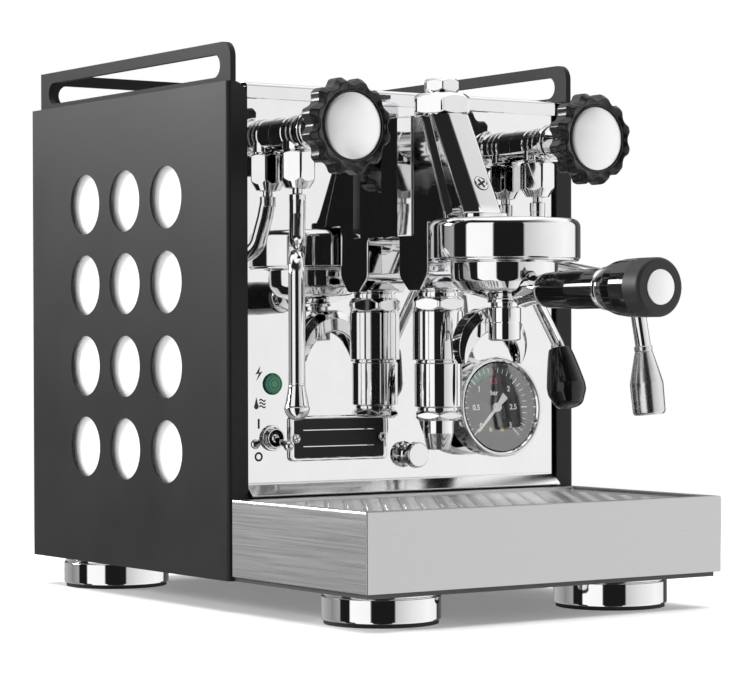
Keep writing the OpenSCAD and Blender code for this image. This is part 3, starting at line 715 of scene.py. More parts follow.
def lamp_and_switch():
    """Green ringed lamp, and a toggle lever in a collar with a knurled ring."""
    at = Vector((lamp_at.x, panel_front, lamp_at.z))
    bezel = bent_line((0, -1), (6.9, -1), (6.9, 0.6, 0.3), (6.3, 1.0, 0.2), (6.3, 0.2), (0, 0.2))
    lathe("lamp_bezel", bezel, at, FRONT, "machine", "black_print_and_painted_shade", "indicator_bezel", 64,
          record_slot="black_gloss")
    lens = bent_line((0, 0.1), (6.2, 0.1), (6.2, 2.1, 0.4), (5.4, 2.4, 0.1), (5.1, 1.7, 0.1),
                     (4.5, 1.7, 0.1), (4.2, 2.4, 0.1), (3.3, 2.45, 0.1), (3.0, 1.9, 0.1), (2.5, 1.9, 0.1),
                     (2.2, 2.4, 0.1), (0, 2.45))
    lathe("lamp_lens", lens, at, FRONT, "machine", "lens_green", "indicator_lens", 64,
          record_slot="green_lens")
    at = Vector((toggle_at.x, panel_front, toggle_at.z))
    knurl = []
    for k in range(96):
        a = 2 * math.pi * k / 96
        radius = 8.1 - (0.25 if k % 2 else 0)
        knurl.append(Vector((radius * math.cos(a), radius * math.sin(a))))
    where = axes(at, RIGHT, UP)
    parts = [plate("ring", [knurl, circle(0, 0, 6.2)], 2.0, where, edge=0.15)]
    collar = rounded(corners(0.3, (5.3, 0), (7.0, 0), (7.0, 2.9), (6.2, 3.4), (6.1, 5.5), (5.3, 5.5)),
                     steps=3)
    parts.append(lathe("collar", ring_profile(collar), at, FRONT, segments=64))
    parts.append(lathe("throat", [(0, -3.4), (5.4, -3.4), (5.4, -8), (0, -8)], at, FRONT, "machine",
                       "matt_black", segments=32))
    body = block("switch_body", (at.x - 8, at.y + 11, at.z - 7), (at.x + 8, at.y + 31, at.z + 7), "machine",
                 "matt_black", edge=1)
    parts.append(body)
    join("switch_housing", parts, "toggle_bushing")
    ball = Vector((toggle_at.x, case_front - 16.5, toggle_at.z - 4.4))
    start = Vector(toggle_at)
    radii = [1.5, 1.55, 1.8, 2.3, 2.5, 2.2]
    path = [start.lerp(ball, t) for t in (0, 0.2, 0.5, 0.8, 0.9, 0.96)]
    lever = sweep("lever", path, radii, "switch_lever", "chrome")
    ends = [lathe("ball", ball_profile(3.2), ball, FRONT, "switch_lever", "chrome", segments=48),
            lathe("root", ball_profile(3.2), start, FRONT, "switch_lever", "chrome", segments=32)]
    join("switch_bat", [lever] + ends, "toggle_lever")


def ball_profile(radius):
    angles = [math.pi * k / 24 for k in range(25)]
    return [(radius * math.sin(a), -radius * math.cos(a)) for a in angles]


def stud():
    back = high("panel_stud").y - low("panel_stud").y
    at = Vector((stud_at.x, low("panel_stud").y, stud_at.z))
    tip = bent_line((0, 0), (8.1, 0, 0.9), (8.7, 4.3, 0.5), (7.0, 4.7, 0.3), (6.6, 5.2, 0.3),
                    (6.6, 9.6, 0.3), (7.2, 10.2, 0.3), (7.2, 10.89), (3, 10.9), (3, back), (0, back),
                    steps=5)
    lathe("panel_knob", tip, at, BACK, node="panel_stud", segments=72, record_slot="chrome_parts")


# ---------- pressure gauge ----------

dial_up = Vector((0, gauge_out.z, -gauge_out.y))
dial_radius = 29.2
dial_depth = 9.0                            # from the bezel's front to the dial
print_at = 0.15 - dial_depth


def on_dial(height):
    """Where a drawing lies on the dial's plane, at a height from the bezel's front."""
    return axes(gauge_at, RIGHT, dial_up) @ Matrix.Translation((0, 0, height * MM))


def heading(angle):
    return Vector((math.cos(angle), math.sin(angle)))


def dial_angle(value):
    """Angle of a pressure in bar: 0 to 3 take three quarters of a turn."""
    return math.radians(225 - value * 90)


def gauge_case():
    """Chrome case with a deep bezel, and its stem through the panel."""
    bezel_r = 33.0
    shell = bent_line((0, -19), (31.2, -19, 1.5), (31.2, -7, 0.5), (bezel_r, -6.2, 0.8),
                      (bezel_r, -0.2, 1.8), (31.0, 0, 1.4), (dial_radius + 0.5, -1.6, 0.5),
                      (dial_radius, -3, 0.4), (dial_radius, -10.5), (0, -10.5))
    stem = bent_line((0, -44), (9, -44, 0.5), (9, -26, 2), (14, -20, 2), (14, -18.9), (0, -18.9))
    case = join("gauge_shell", [lathe("shell", shell, gauge_at, gauge_out, segments=128),
                                lathe("stem", stem, gauge_at, gauge_out, segments=48)], "gauge_case")


def gauge_dial():
    """Dark dial with its scale, green band, figures, centre pin and two screws."""
    parts = [plate("dial", [circle(0, 0, dial_radius - 0.1, 96)], 1.6, on_dial(-dial_depth - 1.4), "machine",
                   "dial_black", edge=0.1),
             lathe("pin", [(0, -9), (1.2, -9), (1.2, -8.2), (0, -8.1)], gauge_at, gauge_out, "machine",
                   "brass", segments=24)]

    def printed_shape(outline, height, material):
        parts.append(plate("print", [outline], 0.2, on_dial(height), "machine", material, edge=0.02))

    for step in range(31):
        major = step % 5 == 0
        inner = 19.4 if step in (0, 30) else 21.6 if major else 23.2
        out = heading(dial_angle(step / 10))
        side = Vector((-out.y, out.x)) * (0.3 if major else 0.175)
        color = "dial_red" if step == 15 else "dial_white"
        printed_shape([out * inner + side, out * inner - side, out * 26.6 - side, out * 26.6 + side],
                      print_at, color)
        if major:
            at = out * (15.2 if step in (5, 25) else 17.0)
            parts.append(lettering(f"{step / 10:g}", 5.0, at, color))
    arc = [heading(dial_angle(1 + 0.5 * k / 20)) for k in range(21)]
    printed_shape([p * 26.6 for p in arc] + [p * 21.2 for p in reversed(arc)], print_at - 0.1, "dial_green")
    parts.append(lettering("bar", 4.6, Vector((0, 9.6)), "dial_white"))
    head = bent_line((0, 0.2), (0.8, 0.2, 0.1), (0.9, 0.6, 0.1), (1.5, 0.6, 0.2), (1.6, 0), (0, 0))
    for x in (-4.7, 4.7):
        at = gauge_at + Vector((x, 0, 0)) + dial_up * -14.5 - gauge_out * (dial_depth - 0.1)
        parts.append(lathe("dial_screw", head, at, gauge_out, "machine", "brass", segments=24))
    join("gauge_dial_printed", parts, "gauge_dial")


def gauge_needle():
    """Needle with a blunt tail, at 0 bar, on its hub."""
    along = heading(dial_angle(0))
    side = Vector((-along.y, along.x))
    half = [(-10.5, 2.6), (-2.6, 1.3), (22.5, 0.5)]
    outline = [along * reach + side * wide for reach, wide in half]
    outline += [along * reach - side * wide for reach, wide in reversed(half)]
    blade = plate("blade", [outline], 0.7, on_dial(-6.8), "needle", "dial_white", edge=0.12)
    hub = plate("hub", [circle(0, 0, 2.9, 32)], 2.6, on_dial(-7.5), "needle", "dial_white", edge=0.3)
    join("gauge_pointer", [blade, hub], "gauge_needle")


def lettering(text, height, centre, material):
    """Plain figures on the dial."""
    curve = bpy.data.curves.new("figures", "FONT")
    curve.body = text
    curve.size = height * MM
    curve.align_x = "CENTER"
    curve.align_y = "CENTER"
    curve.extrude = 0.06 * MM
    curve.offset = 0.10 * MM
    mesh = from_curve(curve)
    mesh.transform(Matrix.Translation((centre.x * MM, centre.y * MM, 0.05 * MM)))
    mesh.transform(on_dial(print_at))
    return place("figures_" + text.replace(".", "_"), mesh, "machine", material)


# ---------- hex nuts ----------

def hex_nut(name, flats, z0, z1, centre, turn, top, bottom, node=None, bore=0.0):
    """Upright hex nut with turned-off corners. top and bottom are (radius at the end, slope)."""
    steps = 120
    corner_limit = flats / 2 / math.cos(math.radians(30)) - 0.25
    columns = []
    for k in range(steps):
        a = 2 * math.pi * k / steps
        local = (math.degrees(a) % 60) - 30
        radius = min(flats / 2 / math.cos(math.radians(local)), corner_limit)
        drop = max(0.0, (radius - top[0]) * top[1])
        rise = max(0.0, (radius - bottom[0]) * bottom[1])
        out = heading(a + math.radians(turn))
        column = [(bore, z0), (min(bottom[0], radius), z0), (radius, z0 + rise), (radius, z1 - drop),
                  (min(top[0], radius), z1), (bore, z1)]
        if bore:
            column.append(column[0])
        columns.append([(centre[0] + r * out.x, centre[1] + r * out.y, z) for r, z in column])
    verts, faces = skin(list(zip(*columns)), capped=False)
    piece = make(name, verts, faces, "machine", "chrome", node, sharp=14)
    soften(piece, 0.25, 14, 2)
    return piece


# ---------- brew group ----------

def group_casting():
    """Casting: side cheeks, block against the panel, slanted neck and the lever's boss."""
    top = group_top
    half = 18.0
    front = case_front
    bell_top = high("group_bell").z
    cheek = bent_line((front + 3, top), (front - 39.5, top, 1.5), (front - 64.5, 251, 3),
                      (front - 66, bell_top, 0.5), (front - 47, bell_top, 0.5), (front - 47, 212, 7),
                      (front - 38.5, 201.5, 4), (front - 25, 201.5, 4), (front - 14.7, 211, 7),
                      (front - 14.7, group_block_low, 3), (front + 3, group_block_low), closed=True, steps=6)
    parts = [along_x(cheek, -half, half, "cheeks", "chrome", edge=1.2)]
    back_half, ridge_half = half + 1.3, half + 3.5
    plan = bent_line((-back_half, front + 3), (-ridge_half, front - 18.3, 0.8),
                     (-half - 0.9, front - 30, 0.5), (half + 0.9, front - 30, 0.5),
                     (ridge_half, front - 18.3, 0.8), (back_half, front + 3), closed=True)
    parts.append(plate("upper_block", [plan], top - group_block_low, lying(group_block_low), edge=1.5))
    parts.append(neck(bell_top))
    foot_plate = rounded_rect(-16.5, 16.5, brew.y + 11, brew.y + 51, 10, steps=10)
    parts.append(plate("foot_plate", [foot_plate], 5, lying(bell_top), edge=1.4))
    boss = bent_line((6.05, 0), (12, 0), (12, 6.4, 1), (10, 7, 0.5), (6.05, 7))
    boss_at = Vector((half - 1, lever_at.y, lever_at.z))
    parts.append(lathe("boss", boss, boss_at, RIGHT, segments=64))
    saddle = bent_line((0, 198), (13.5, 198), (13.5, 200.5, 1), (16.5, 203.5, 2), (0, 204))
    parts.append(lathe("saddle", saddle, (0, exhaust_y, 0), UP))
    seat = bent_line((0, 0), (16.6, 0), (16.6, 0.9, 0.4), (0, 0.9))
    parts.append(lathe("nut_seat", seat, (0, nut_at().y, top), UP))
    join("group_casting", parts, "group_body")


def nut_at():
    return mid("group_cap_nut")


def neck_y(z):
    """Middle of the slanted neck at a height."""
    return case_front - neck_reach - (group_top - z) * math.tan(neck_lean)


def neck(bell_top):
    """Slanted neck: a rounded bar that widens in a fillet where it meets the foot."""
    rows = 40
    rings = []
    for i in range(rows + 1):
        t = i / rows
        z = group_top - (group_top - bell_top) * t
        flare = max(0.0, (t - 0.86) / 0.14)
        grow = 2.6 * flare * flare
        side, ahead = 14.25 + grow, 17.05 + grow
        section = bent_line((-side, ahead, 6), (-side, 9 - ahead, 2.5), (-8, -ahead, 2.5),
                            (8, -ahead, 2.5), (side, 9 - ahead, 2.5), (side, ahead, 6), closed=True)
        rings.append([(p.x, neck_y(z) + p.y, z) for p in section])
    return make("neck", *skin(rings), "machine", "chrome", sharp=40)


def neck_plug():
    """Slotted plug on the front of the neck; its cross cut and the gap round it are thin dark plates, painted
    shade.
    """
    out = Vector((0, -math.cos(neck_lean), math.sin(neck_lean)))
    up = Vector((0, math.sin(neck_lean), math.cos(neck_lean)))
    z = group_top - 45
    at = Vector((0, neck_y(z) - 15 / math.cos(neck_lean), z))
    rim = bent_line((0, 0), (4.7, 0), (4.7, 0.6, 0.25), (4.1, 0.8, 0.2), (3.8, 0.15, 0.1), (0, 0.2))
    parts = [lathe("plug", rim, at, out, segments=64)]
    # Painted shade: a thin dark ring stands in for the gap round the plug.
    painted_groove_shade = ring_profile([(4.75, 0), (5.2, 0), (5.2, 0.06), (4.75, 0.06)])
    parts.append(lathe("painted_groove_shade", painted_groove_shade, at, out, "machine", "black_print_and_painted_shade", segments=64))
    # Painted shade: two thin dark bars stand in for the cut across the plug.
    for a in (0.5, 0.5 + math.pi / 2):
        x_axis = RIGHT * math.cos(a) + up * math.sin(a)
        bar = rounded_rect(-3.3, 3.3, -0.75, 0.75, 0.3, steps=2)
        parts.append(plate("slot", [bar], 0.2, axes(at + out * 0.12, x_axis, out.cross(x_axis)), "machine",
                           "black_print_and_painted_shade", edge=0.05))
    return parts


def group_nuts():
    at = nut_at()
    lo, hi = low("group_cap_nut"), high("group_cap_nut")
    hex_nut("cap_nut", 35, lo.z, hi.z, at, -3.5, (15.6, 0.85), (17.5, 0.6), "group_cap_nut")
    lo, hi = low("group_top_nut"), high("group_top_nut")
    collar = bent_line((0, lo.z - 0.1), (8.6, lo.z - 0.1), (8.6, lo.z + 1.3, 0.2), (0, lo.z + 1.4))
    parts = [hex_nut("top_nut", 21.4, lo.z + 1.3, hi.z, at, -2, (9.6, 0.8), (10.2, 0.9)),
             lathe("top_nut_collar", collar, (at.x, at.y, 0), UP, segments=64)]
    join("top_nut_set", parts, "group_top_nut")


def bell():
    """Bell round the brewing chamber, with its bayonet ledge below."""
    radius = size("group_bell").x / 2
    top = high("group_bell").z
    base = low("group_bell").z
    outline = bent_line((0, top), (radius, top, 5.2), (radius, base + 1.6, 0.8),
                        (radius - 0.9, base + 1.2, 0.3), (radius - 0.9, base, 0.6), (37, base, 0.3),
                        (37, base + 2.5, 0.2), (39.3, base + 2.5), (39.3, base + 11), (37, base + 11),
                        (37, base + 19), (0, base + 19), steps=8)
    lathe("bell_turned", outline, brew, UP, node="group_bell", segments=160, record_slot="chrome_parts")


def exhaust():
    """Exhaust chamber: two hex collars, a long sleeve in two parts and a conical outlet."""
    at = Vector((0, exhaust_y, 0))
    sleeve = bent_line((0, 189), (16.0, 189), (16.4, 188.2, 0.4), (16.4, 157.4, 0.5), (14.2, 156.9, 0.2),
                       (14.2, 155.6, 0.2), (15.2, 155.0, 0.5), (15.2, 127.4, 0.6), (13, 126.8, 0.3),
                       (13, 124), (0, 124), steps=4)
    outlet = bent_line((0, 119.5), (9.8, 119.5), (9.8, 110.5, 2), (7.4, 100, 0.5), (5.2, 100, 0.3),
                       (5.0, 104), (0, 104), steps=4)
    parts = [hex_nut("upper_hex", 32, 188, 198, at, -3.5, (14.6, 0.95), (14.6, 0.95)),
             lathe("sleeve", sleeve, at, UP),
             hex_nut("lower_hex", 29, 118.6, 125.1, at, -3.5, (13.0, 0.8), (13.0, 0.8)),
             lathe("outlet", outlet, at, UP)]
    join("exhaust_set", parts, "exhaust_chamber")


# ---------- valves, knobs and wands ----------

def valve(name, at, node):
    """Valve body along Y with turned rings, and the branch down to the wand."""
    zero = Vector((at.x, case_front, valve_z))
    outline = bent_line((0, -26), (10.3, -26, 0.5), (10.3, -10, 0.3), (11.8, -9.5, 0.3),
                        (11.8, -4.5, 0.3), (10.3, -4.4), (10.3, 10, 0.5), (9.9, 10.6, 0.3),
                        (9.9, 11.6, 0.3), (10.3, 12.2, 0.3), (10.3, 28.4, 0.8), (12.6, 29.4, 0.8),
                        (12.6, 33, 0.8), (11.0, 33.8, 0.4), (11.0, 37, 0.4), (11.6, 37.6, 0.4),
                        (11.6, 49.2, 1), (8.5, 50, 0.6), (4.05, 50), (4.05, 12), (0, 12), steps=4)
    parts = [lathe("barrel", outline, zero, FRONT)]
    branch = bent_line((0, 299), (9.4, 299), (9.4, 289.4, 0.5), (8.6, 288.6, 0.3), (7.9, 288),
                       (7.9, 278.6), (0, 278.6))
    parts.append(lathe("branch", branch, (at.x, at.y, 0), UP, segments=64))
    ring = rounded(corners(0.35, (10.2, 0), (10.75, 0), (10.75, 1.2), (10.2, 1.2)), steps=3)
    for ahead in (16, 21):
        parts.append(lathe("ring", ring_profile(ring), zero + FRONT * ahead, FRONT, segments=64))
    join(name, parts, node)


def wand_nuts():
    """Hex nuts that hold the wands' balls, with a bore for the pipe."""
    base = low("wand_nuts").z
    nuts = [hex_nut("nut", 20.6, base, 288, at, 8, (9.9, 0.7), (7.6, 1.55), bore=5.6)
            for at in (steam_at, water_at)]
    join("wand_nut_pair", nuts, "wand_nuts")


def knob(name, joint, body, node, cap_node):
    """Lobed knob: scalloped rim, faceted front ridge, and a domed cap in a recess."""
    at = pivot(joint)
    rim_depth = 15.7
    back_y = low(node).y + rim_depth
    lobes = 12
    steps = 20 * lobes
    lobe_r, valley_depth = 30.0, 3.5

    def rim(a, amount):
        """Wide hollow arcs between narrow lobes."""
        t = (lobes * a / (2 * math.pi) + 0.5) % 1.0 * 2 - 1
        dip = 1 - (t / 0.72) ** 2
        dip = (dip + math.sqrt(dip * dip + 0.03)) / 2
        return lobe_r - valley_depth * (dip * amount + (1 - amount) * 0.45)

    rows = [(0.0, 13.0, 0.0, 0), (0.0, -3.0, 0.8, 1), (0.4, -1.0, 1.0, 1), (1.2, -0.2, 1.0, 1),
            (1.8, 0.0, 1.0, 1), (9.6, 0.0, 1.0, 1), (10.4, -0.2, 1.0, 1), (11.2, -0.6, 0.97, 1),
            (13.4, -1.5, 0.85, 1), (15.0, -2.2, 0.72, 1), (15.5, -2.6, 0.64, 1), (rim_depth, -3.1, 0.6, 1),
            (15.6, -3.6, 0.55, 1), (15.2, -4.6, 0.4, 1), (14.5, 22.8, 0.0, 0), (14.2, 22.2, 0.0, 0),
            (14.5, 21.8, 0.0, 0), (14.6, 21.3, 0.0, 0), (14.3, 21.0, 0.0, 0), (13.2, 20.9, 0.0, 0),
            (13.2, 0.01, 0.0, 0)]
    rings = []
    for height, inset, amount, lobed in rows:
        ring = []
        for k in range(steps):
            a = 2 * math.pi * k / steps
            radius = rim(a, amount) + inset if lobed else inset
            ring.append((at.x + radius * math.cos(a), back_y - height, at.z + radius * math.sin(a)))
        rings.append(ring)
    rim_piece = make("rim", *skin(rings, capped=False), body, "knob_black", sharp=50)
    hub = bent_line((0, -1), (13, -1), (13, 6.5, 1.5), (10, 8, 1), (4.0, 8), (4, -1))
    hub_piece = lathe("hub", hub, (at.x, back_y, at.z), BACK, body, "knob_black")
    join(name, [rim_piece, hub_piece], node)
    dome = 60.0
    cap_r = 20.4
    sink = dome - math.sqrt(dome ** 2 - cap_r ** 2)
    crown = [(0.0, 0.0), (cap_r, 0.0), (cap_r, 0.45), (cap_r - 0.25, 0.7)]
    for k in range(1, 21):
        r = (cap_r - 0.3) * (1 - k / 20)
        crown.append((r, 0.75 + math.sqrt(dome ** 2 - r ** 2) - dome + sink))
    lathe(name + "_cap", crown, (at.x, high(cap_node).y, at.z), FRONT, body, "cap_metal", cap_node, 128,
          record_slot="cap_metal")


def wand_path(points, radius):
    return rounded(corners(radius, *points), closed=False, steps=14)


def wand_top(at, body):
    """Ball, thin neck and collar under the nut."""
    ball = lathe("ball", ball_profile(6), at, UP, body, "wand_steel", segments=64)
    stem = bent_line((0, -5), (3.2, -5), (3.2, -10.3, 0.4), (5.2, -10.8, 0.4), (5.2, -17, 0.4),
                     (0, -17.2))
    return [ball, lathe("collar", stem, at, UP, body, "wand_steel", segments=64)]


def smooth_through(points, steps):
    """Points of a smooth curve that passes through all the given ones."""
    ends = [points[0]] + points + [points[-1]]
    curve = []
    for k in range(1, steps + 1):
        reach = k / steps * (len(points) - 1)
        i = min(int(reach), len(points) - 2)
        t = reach - i
        curve.append(tuple(0.5 * (2 * b + (c - a) * t + (2 * a - 5 * b + 4 * c - d) * t * t
                                  + (3 * b - a - 3 * c + d) * t ** 3)
                           for a, b, c, d in zip(*ends[i:i + 4])))
    return curve


def steam_wand():
    at = steam_at
    end = Vector((mid("steam_tip").x, mid("steam_tip").y, high("steam_tip").z))
    elbow = Vector((end.x, end.y, 219))
    shoulder = Vector((at.x - 5, at.y - 7, 226))
    path = wand_path([at + Vector((0, 0, -14)), at + Vector((-1.2, -1.8, -24)), shoulder, elbow, end], 13)
    parts = wand_top(at, "steam_pipe") + [sweep("pipe", path, 5.1, "steam_pipe", "wand_steel", segments=48)]
    join("steam_pipe_bent", parts, "steam_wand")
    tip_low = low("steam_tip").z
    length = end.z - tip_low
    ball_r = 7.85
    slope = [(5.2, -1.5), (5.6, -4), (6.5, -9), (7.35, -13.5), (ball_r, ball_r - length)]
    pear = [(0, 0), (5.05, 0), (5.2, -0.15), (5.2, -1.0), (5.0, -1.2), (5.2, -1.5)]
    pear += smooth_through(slope, 32)
    for k in range(1, 25):
        a = math.pi / 2 * k / 24
        pear.append((ball_r * math.cos(a), ball_r - length - ball_r * math.sin(a)))
    lathe("steam_nozzle", pear, end, UP, "steam_pipe", "wand_steel", "steam_tip", 96,
          record_slot="wand_steel")


def water_wand():
    at = water_at
    end = Vector((119.3, case_front - 94, 166))
    foot = Vector((123, case_front - 96, 121.5))
    corner = Vector((113.0, case_front - 92, 207))
    drop = Vector((at.x, at.y, 221))
    path = wand_path([at + Vector((0, 0, -14)), drop, corner, end], 12)
    parts = wand_top(at, "water_pipe") + [sweep("pipe", path, 5.0, "water_pipe", "wand_steel", segments=48)]
    join("water_pipe_bent", parts, "water_wand")
    length = (foot - end).length
    bottle = bent_line((0, 0), (5.3, 0), (5.9, 0.4, 0.3), (5.9, 3.0, 0.3), (5.5, 3.5, 0.2),
                       (5.9, 4.2, 0.5), (8.9, 16, 14), (10.9, 24.5, 12), (10.6, length - 1.6, 2),
                       (9.6, length - 0.2, 0.5), (6.9, length - 0.2, 0.3), (6.6, length - 4),
                       (0, length - 4), steps=8)
    lathe("water_nozzle", bottle, end, foot - end, "water_pipe", "tip_satin", "water_tip",
          96, record_slot="wand_steel")


def brew_lever():
    at = lever_at
    end = Vector((at.x, case_front - 90.3, 166))
    hub = bent_line((0, 24.4), (10.2, 24.4, 0.8), (10.5, 32, 1), (8.0, 38, 3), (8.0, 50, 2), (9.5, 54, 2),
                    (9.5, 59, 2), (0, 59), steps=6)
    parts = [lathe("hub", hub, (0, at.y, at.z), RIGHT, "brew_lever"),
             lathe("shaft", [(0, 3), (6, 3), (6, 26), (0, 26)], (0, at.y, at.z), RIGHT, "brew_lever",
                   segments=48)]
    low_end = Vector((at.x, case_front - 101.3, 127))
    down = (low_end - end).normalized()
    path = rounded([(at, 0), (end, 20), (end + down * 6, 0)], closed=False, steps=12)
    parts.append(sweep("rod", path, 3.9, "brew_lever", "chrome", segments=48))
    join("lever_rod", parts, "lever_arm")
    start = end + down * 1.6
    length = (low_end - start).length
    pear = bent_line((0, 0), (7.0, 0, 0.9), (8.7, 6, 10), (10.4, 14, 20), (12.3, 24, 8), (12.3, 28.5, 7),
                     (8.4, 37.6, 8), (3.0, length - 0.1, 5), (0, length), steps=10)
    lathe("lever_handle", pear, start, down, "brew_lever", "gloss_black", "lever_grip", 96,
          record_slot="black_gloss")


# ---------- filter holder ----------

def filter_holder():
    """Bowl with two ears, and a neck with a ring at the handle."""
    rim_z = high("portafilter").z
    outline = bent_line((0, 193), (10.6, 193, 0.4), (10.6, 195.2, 1), (17, 197.2, 5), (27.5, 200.0, 7),
                        (33.0, 206.5, 4), (33.4, 212, 3), (33.4, 217.6, 0.5), (35.4, 218.2, 0.3),
                        (35.4, rim_z, 0.3), (30.6, rim_z, 0.2), (30.6, 205, 1), (5, 205, 0.4), (5, 193.2),
                        steps=8)
    parts = [lathe("bowl", outline, brew, UP, "filter_holder", segments=144)]
    for side in (-1, 1):
        ear = bent_line((34 * side, -6.5), (38.2 * side, -6.3, 1), (38.2 * side, 6.3, 1),
                        (34 * side, 6.5), closed=True)
        parts.append(plate("ear", [ear], 6, axes((brew.x, brew.y, 221.5), RIGHT, BACK), "filter_holder",
                           edge=0.5))
    handle_z = mid("handle_grip").z
    neck_start = brew.y - 22
    grip_start = high("handle_grip").y
    steps = 18
    path, radii = [], []
    for k in range(steps + 1):
        t = k / steps
        path.append(Vector((0, neck_start + (grip_start + 0.4 - neck_start) * t, handle_z + 1.5 * (1 - t))))
        radii.append(8.3 + 3.4 * (1 - t) ** 2)
    parts.append(sweep("neck", path, radii, "filter_holder", "chrome", segments=64))
    ring = rounded(corners(0.7, (7, 0), (10.2, 0), (10.2, 2.2), (7, 2.2)), steps=5)
    parts.append(lathe("ring", ring_profile(ring), (0, grip_start + 2.2, handle_z), FRONT,
                       "filter_holder", segments=64))
    join("holder_bowl", parts, "portafilter")


def channel(name, centre, radius, span, body):
    """Open spout arms: a wide U-shaped channel along an arc, tapering to pointed lips."""
    wide, deep, wall = 8.2, 7.2, 1.2
    steps = 64
    rings = []
    for i in range(steps + 1):
        t = 2 * i / steps - 1
        a = span[0] + (span[1] - span[0]) * i / steps
        out = Vector((math.cos(a), 0, math.sin(a)))
        narrow = max(0.16, 1 - abs(t) ** 2.6 * 0.84)
        w, d = wide * (0.35 + 0.65 * narrow), deep * narrow
        thin = min(wall, d * 0.4)
        bend = 0.9 * narrow
        section = rounded(corners(bend, (-w, d), (-w, -0.2 * d), (-0.62 * w, -d), (0.62 * w, -d),
                                  (w, -0.2 * d), (w, d)), steps=4)
        section += rounded(corners(bend, (w - thin, d), (w - thin, -0.1 * d), (0.55 * w, thin - d),
                                   (-0.55 * w, thin - d), (thin - w, -0.1 * d), (thin - w, d)), steps=4)
        rings.append([centre + out * (radius - p.y) + BACK * p.x for p in section])
    return make(name, *skin(rings), body, "chrome", sharp=40)


def spout():
    """Double spout: a nut under the bowl and two open curved channels."""
    hub = bent_line((0, 193.4), (8.6, 193.4), (8.6, 190.5, 0.5), (10.3, 189.8, 0.5), (10.3, 181, 0.5),
                    (10.0, 180.4, 0.2), (10.0, 170.2, 1), (8.4, 169.4, 0.5), (0, 169.4), steps=4)
    parts = [lathe("hub", hub, brew, UP, "filter_holder", segments=96)]
    arc_y = brew.y + 15
    parts.append(channel("arms", Vector((0, arc_y, 161)), 22.5, (math.radians(-14), math.radians(194)),
                         "filter_holder"))
    parts.append(sweep("bridge", [Vector((0, brew.y, 180)), Vector((0, arc_y, 181.5))], [7.5, 6.0],
                       "filter_holder", "chrome", segments=48))
    join("spout_double", parts, "spout")


def handle():
    """Two turned black grips, a bright ring between them and a bright end disc."""
    z = mid("handle_grip").z
    start = high("handle_grip").y
    end = low("handle_grip").y
    first_long = 55.5
    ring_long = 4.0
    first = bent_line((0, 0), (9.9, 0, 0.4), (10.8, 2, 1.6), (11.8, 30, 40), (11.8, first_long, 0.8),
                      (0, first_long), steps=8)
    parts = [lathe("front_grip", first, (0, start, z), FRONT, "filter_holder", "gloss_black",
                   segments=128)]
    rear_start = start - first_long - ring_long
    length = rear_start - end
    matt_from = length - 14
    second = bent_line((0, 0), (12.4, 0, 0.4), (13.8, 3, 3), (16, 10, 12), (16.9, 18, 14), (17.2, 28, 12),
                       (17.2, matt_from), steps=8)
    second.append((0, matt_from))
    parts.append(lathe("rear_grip", second, (0, rear_start, z), FRONT, "filter_holder", "gloss_black",
                       segments=128))
    cap = bent_line((0, matt_from), (17.2, matt_from), (17.2, length - 0.1, 4.6), (12.6, length, 0.4),
                    (10.8, length, 0.2), (0, length - 0.1), steps=10)
    parts.append(lathe("end_cap", cap, (0, rear_start, z), FRONT, "filter_holder",
                       "matt_black", segments=128))
    join("handle_turned", parts, "handle_grip")
    ring = bent_line((0, 0), (12.5, 0, 0.5), (13, 2, 1.2), (12.5, ring_long, 0.5), (0, ring_long))
    disc_from = low("handle_trim").y + 1.6
    disc = [(0, 0), (10.2, 0), (10.2, 0.3), (10.0, 0.5)]
    disc += [(10.0 * (1 - k / 12), 0.5 + 1.1 * (1 - (1 - k / 12) ** 2)) for k in range(1, 13)]
    trim = [lathe("ring", ring, (0, start - first_long, z), FRONT, "filter_holder", segments=96),
            lathe("disc", disc, (0, disc_from, z), FRONT, "filter_holder", "cap_metal", segments=96)]
    join("handle_bright", trim, "handle_trim")


# ---------- drip tray ----------

